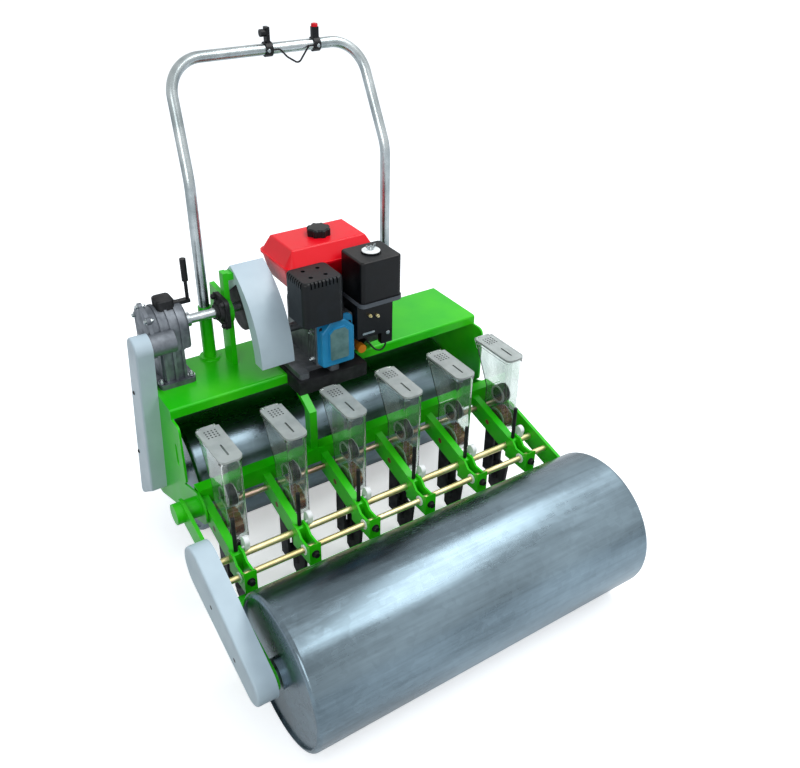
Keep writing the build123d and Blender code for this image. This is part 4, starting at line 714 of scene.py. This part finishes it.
# %% Switch button and clamp screws
BUTTON_RADIUS_MM, BUTTON_SINK_MM, BUTTON_EDGE_MM, BUTTON_CROWN_MM = 7.6, 6.5, 1.2, 3.5
button_seat = shifted(spot("stop_switch", 0.5, 0.5, 1), 0, 0, -BUTTON_SINK_MM)
build = bmesh.new()
button = [
    (0, 0), (0, BUTTON_RADIUS_MM), (5, BUTTON_RADIUS_MM), (6.6, BUTTON_RADIUS_MM - BUTTON_EDGE_MM),
    (7.3, BUTTON_RADIUS_MM - BUTTON_CROWN_MM), (7.5, 0),
]
turn(build, button, button_seat, UP, 32)
make_piece("switch_button", build, red_enamel, "frame")
CLAMP_SCREW = ((-1, 0), (-1, 4), (2, 4), (3, 3), (3, 0))
build = bmesh.new()
for node in ("stop_switch", "throttle_lever"):
    turn(build, CLAMP_SCREW, spot(node, 0.5, 0, 0.25), FRONT, 20)
make_piece("clamp_screws", build, plated_tube, "frame")

# %% [markdown]
# ## Rows and axles
# The front rod passes through a white washer on both sides of each row's bracket. The wheels in the
# hoppers have a pale rim on both faces. At its right end, each drum's axle carries a large nut on a
# washer, outside the arm.

# %% Rod washers
ROD_WASHER_RADIUS_MM, ROD_WASHER_THICK_MM, ROD_BORE_MM = 12, 2.5, 7.1
ROWS = range(1, 7)
rod_middle = spot("front_rod", 0.5, 0.5, 0.5)
bracket_low, bracket_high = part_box("row_brackets")
hopper_middles = [spot(f"hopper_{k}", 0.5, 0.5, 0.5).x for k in ROWS]
bracket_width = bracket_high.x - bracket_low.x - (hopper_middles[-1] - hopper_middles[0])
washer = [
    (0, ROD_BORE_MM), (0, ROD_WASHER_RADIUS_MM), (ROD_WASHER_THICK_MM, ROD_WASHER_RADIUS_MM),
    (ROD_WASHER_THICK_MM, ROD_BORE_MM),
]
build = bmesh.new()
for middle in hopper_middles:
    bracket_left = bracket_low.x + middle - hopper_middles[0]
    for x, along in ((bracket_left, LEFT), (bracket_left + bracket_width, RIGHT)):
        turn(build, washer, (x, rod_middle.y, rod_middle.z), along, 32, True)
make_piece("rod_washers", build, white_nylon, "frame")

# %% Rims of the wheels in the hoppers
# each row: packed wheels, body, radius and half width of a wheel in mm
WHEEL_RIMS = (("seed_wheels", "seed wheel set", 31, 13), ("brush_wheels", "frame", 24, 10))
RIM_WIDTH_MM, RIM_STAND_MM, RIM_SINK_MM, RIM_INSET_MM = 5, 2, 0.5, 0.2
for node, body, radius, half_width in WHEEL_RIMS:
    wheel_middle = spot(node, 0.5, 0.5, 0.5)
    rim_in, rim_out = radius - RIM_WIDTH_MM, radius - RIM_INSET_MM
    rim = [(-RIM_SINK_MM, rim_in), (-RIM_SINK_MM, rim_out), (RIM_STAND_MM, rim_out), (RIM_STAND_MM, rim_in)]
    build = bmesh.new()
    for x in hopper_middles:
        for along, side in ((LEFT, -1), (RIGHT, 1)):
            place = (x + half_width * side * MM, wheel_middle.y, wheel_middle.z)
            turn(build, rim, place, along, 40, True)
    make_piece(f"{node}_rims", build, pale_plastic, body)

# %% [markdown]
# ## Vents and slots of the lids
# Each lid has a square of sixteen small vents and a long slot. The hopper below them lies in shade, so
# they read as dark dots and a dark line on the frosted lid. A short dark lining in each hole paints that
# shade at this size; it leaves the hole open.

# %% Lid vents
VENT_OUTER_MM, VENT_INNER_MM, LINING_DEPTH_MM, LINING_STAND_MM = 2.1, 1.2, 1, 0.25
VENT_ROWS, VENT_PITCH_MM, VENT_BACK_MM, LID_LENGTH_MM = 4, 8, 14, 133
SLOT_WIDTH_MM, SLOT_LENGTH_MM, SLOT_LINING_MM, SLOT_FROM_FRONT_MM = 3, 40, 0.9, 42
SLOT_OUTER_ROUND_MM, SLOT_INNER_ROUND_MM = 1.9, 1.0
# the lining's dark colour is painted shade: it stands for the shaded hopper seen through each vent and the
# slot
lining = moulded_plastic("painted_shade_vent_lining", "#3A3F3E", "#4C5250", 0.6)


def circle_points(radius_mm, sides=14):
    """A circle's outline as points in mm."""
    return [(math.cos(2 * math.pi * k / sides) * radius_mm, math.sin(2 * math.pi * k / sides) * radius_mm)
            for k in range(sides)]


lining_height = LINING_DEPTH_MM + LINING_STAND_MM
vent_outer, vent_inner = circle_points(VENT_OUTER_MM), circle_points(VENT_INNER_MM)
slot_outer, slot_inner = (
    rounded_corners(SLOT_WIDTH_MM + lining_mm, SLOT_LENGTH_MM + lining_mm, round_mm)
    for lining_mm, round_mm in ((SLOT_LINING_MM, SLOT_OUTER_ROUND_MM), (-SLOT_LINING_MM, SLOT_INNER_ROUND_MM))
)
for k in ROWS:
    lid_low, lid_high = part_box(f"lid_{k}")
    lid_middle_x = (lid_low.x + lid_high.x) / 2
    back_edge = Vector((lid_middle_x, lid_low.y + LID_LENGTH_MM * MM, lid_high.z))
    front_edge = Vector((lid_middle_x, lid_low.y, lid_high.z))
    build = bmesh.new()
    for column in range(VENT_ROWS):
        for row in range(VENT_ROWS):
            x_mm = (column - (VENT_ROWS - 1) / 2) * VENT_PITCH_MM
            place = shifted(back_edge, x_mm, -VENT_BACK_MM - row * VENT_PITCH_MM, -LINING_DEPTH_MM)
            ring_wall(build, vent_outer, vent_inner, place, lining_height)
    slot_place = shifted(front_edge, 0, SLOT_FROM_FRONT_MM, -LINING_DEPTH_MM)
    ring_wall(build, slot_outer, slot_inner, slot_place, lining_height)
    # each lid's linings are painted shade in its vents and slot
    make_piece(f"lid_{k}_vents", build, lining, f"lid {k}")

# %% Axle nuts
AXLE_BORE_MM, NUT_CORNER_MM, NUT_CHAMFER_MM, NUT_WASHER_MM = 12.6, 18, 2, 22
# distances along the axle from its end, in mm
WASHER_AT_MM, NUT_AT_MM, NUT_SHOULDER_MM, NUT_END_MM = -10.5, -8, -2, -1
washer = [
    (WASHER_AT_MM, AXLE_BORE_MM), (WASHER_AT_MM, NUT_WASHER_MM), (NUT_AT_MM, NUT_WASHER_MM),
    (NUT_AT_MM, AXLE_BORE_MM),
]
nut = [
    (NUT_AT_MM, AXLE_BORE_MM), (NUT_AT_MM, NUT_CORNER_MM), (NUT_SHOULDER_MM, NUT_CORNER_MM),
    (NUT_END_MM, NUT_CORNER_MM - NUT_CHAMFER_MM), (NUT_END_MM, AXLE_BORE_MM),
]
for node, body in (("front_drum", "front roller"), ("rear_drum", "rear roller")):
    build = bmesh.new()
    axle_end = spot(node, 1, 0.5, 0.5)
    turn(build, washer, axle_end, RIGHT, 36, True)
    turn(build, nut, axle_end, RIGHT, 6, True)
    make_piece(f"{node}_axle_nut", build, plated_tube, body)

# %% [markdown]
# ## Welds
# The handlebar's two sockets are welded to the deck. A hand-laid bead is a small rounded ridge, 4 to
# 5 mm wide, that runs round the joint, and the enamel lies over it. A thin green tube round each foot is
# enough at this size, half sunk in both walls.

# %% Weld beads
BEAD_RADIUS_MM = 2.2


def foot_bead(name, middle, radius_mm, steps=24):
    """A weld bead round a round foot."""
    angles = [2 * math.pi * k / steps for k in range(steps + 1)]
    ring = [shifted(middle, math.cos(a) * radius_mm, math.sin(a) * radius_mm) for a in angles]
    return wire(name, ring, BEAD_RADIUS_MM, green_enamel, "frame", 3)


socket_low, socket_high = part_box("handle_sockets")
deck_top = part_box("deck")[1].z
socket_y = (socket_low.y + socket_high.y) / 2
socket_radius = (socket_high.y - socket_low.y) / 2
for label, x in (("left", socket_low.x + socket_radius), ("right", socket_high.x - socket_radius)):
    foot_bead(f"socket_weld_{label}", (x, socket_y, deck_top), socket_radius / MM)

# %% [markdown]
# ## Floor, lamps and sky
# The planter stands on a plain pale floor that is white to the camera and keeps the shadow. The sky is
# white too where it is seen directly, in a mirror or through clear plastic. As light it is dim at the
# horizon and brighter and slightly blue overhead. Two large soft lamps, one overhead and one at the
# front left, give the shapes their light and dark sides and the drum its long highlight.

# %% Floor
def seen_directly(material):
    """1 for what the camera, a mirror or clear plastic sees, 0 for light that only bounces."""
    ray = add_node(material, "ShaderNodeLightPath")
    mirrored = add_node(
        material, "ShaderNodeMath", {"operation": "MAXIMUM"},
        n0=ray.outputs["Is Glossy Ray"], n1=ray.outputs["Is Transmission Ray"],
    )
    return add_node(
        material, "ShaderNodeMath", {"operation": "MAXIMUM"},
        n0=ray.outputs["Is Camera Ray"], n1=mirrored.outputs[0],
    ).outputs[0]


FLOOR_RADIUS_M, FLOOR_LIFT = 30, 0.45


def make_floor():
    """A large pale floor, white where it is seen, duller to the light that bounces off it."""
    material, output = new_material("pale_floor")
    tone = add_node(material, "ShaderNodeMix", {"data_type": "RGBA"}, n0=seen_directly(material))
    tone.inputs[6].default_value = linear("#7E8280")
    tone.inputs[7].default_value = linear("#FFFFFF")
    matt = add_node(material, "ShaderNodeBsdfDiffuse", Color=tone.outputs[2])
    seen = add_node(material, "ShaderNodeLightPath")
    clear = add_node(material, "ShaderNodeMath", {"operation": "MAXIMUM"},
                     n0=seen.outputs["Is Camera Ray"], n1=seen.outputs["Is Transmission Ray"])
    lift = add_node(material, "ShaderNodeMath", {"operation": "MULTIPLY"}, n0=clear.outputs[0], n1=FLOOR_LIFT)
    glow = add_node(material, "ShaderNodeEmission", Strength=lift.outputs[0])
    shader = add_node(material, "ShaderNodeAddShader", n0=matt.outputs[0], n1=glow.outputs[0])
    finish_material(material, output, shader)
    mesh = bpy.data.meshes.new("floor")
    build = bmesh.new()
    bmesh.ops.create_circle(build, cap_ends=True, segments=96, radius=FLOOR_RADIUS_M)
    build.to_mesh(mesh)
    build.free()
    mesh.materials.append(material)
    floor = bpy.data.objects.new("floor", mesh)
    bpy.context.scene.collection.objects.link(floor)
    return floor


floor = make_floor()
print("floor", tuple(round(v, 1) for v in floor.dimensions))

# %% Sky and lamps
SKY_LOW, SKY_HIGH = 0.30, 0.95


def make_sky():
    """A white sky; its light is dimmer from the horizon and a little bluer from overhead."""
    world = bpy.data.worlds.new("sky")
    world.use_nodes = True
    bpy.context.scene.world = world
    world.node_tree.nodes.clear()
    output = add_node(world, "ShaderNodeOutputWorld")
    place = add_node(world, "ShaderNodeTexCoord").outputs["Generated"]
    height = add_node(world, "ShaderNodeSeparateXYZ", Vector=place).outputs["Z"]
    share = add_node(world, "ShaderNodeMapRange", n0=height, n1=0.05, n2=0.9)
    tone = add_node(world, "ShaderNodeMix", {"data_type": "RGBA"}, n0=share.outputs[0])
    tone.inputs[6].default_value = linear("#FFFFFF")
    tone.inputs[7].default_value = linear("#E2EDF8")
    shown = seen_directly(world)
    white = add_node(world, "ShaderNodeMix", {"data_type": "RGBA"}, n0=shown, n6=tone.outputs[2])
    white.inputs[7].default_value = linear("#FFFFFF")
    light = add_node(world, "ShaderNodeMapRange", n0=height, n1=0.0, n2=1.0, n3=SKY_LOW, n4=SKY_HIGH)
    strength = add_node(world, "ShaderNodeMapRange", n0=shown, n1=0.0, n2=1.0, n3=light.outputs[0], n4=1.0)
    sky = add_node(world, "ShaderNodeBackground", Color=white.outputs[2], Strength=strength.outputs[0])
    world.node_tree.links.new(sky.outputs[0], output.inputs["Surface"])
    return world


def soft_lamp(name, place, aim, width, depth, power):
    """A rectangular area lamp at place, turned towards aim; sizes in metres, power in watts."""
    data = bpy.data.lights.new(name, "AREA")
    data.shape = "RECTANGLE"
    data.size, data.size_y = width, depth
    data.energy = power
    lamp = bpy.data.objects.new(name, data)
    lamp.location = place
    lamp.rotation_euler = (Vector(aim) - Vector(place)).to_track_quat("-Z", "Y").to_euler()
    bpy.context.scene.collection.objects.link(lamp)
    return lamp


make_sky()
soft_lamp("lamp_overhead", (1.3, -0.65, 3.2), (0.4, -0.4, 0.3), 3.0, 1.0, 55)
soft_lamp("lamp_front_left", (-2.6, -2.4, 2.2), (0, 0, 0.4), 1.8, 1.8, 40)
bpy.context.scene.view_settings.view_transform = "Standard"
print("sky and lamps ready")
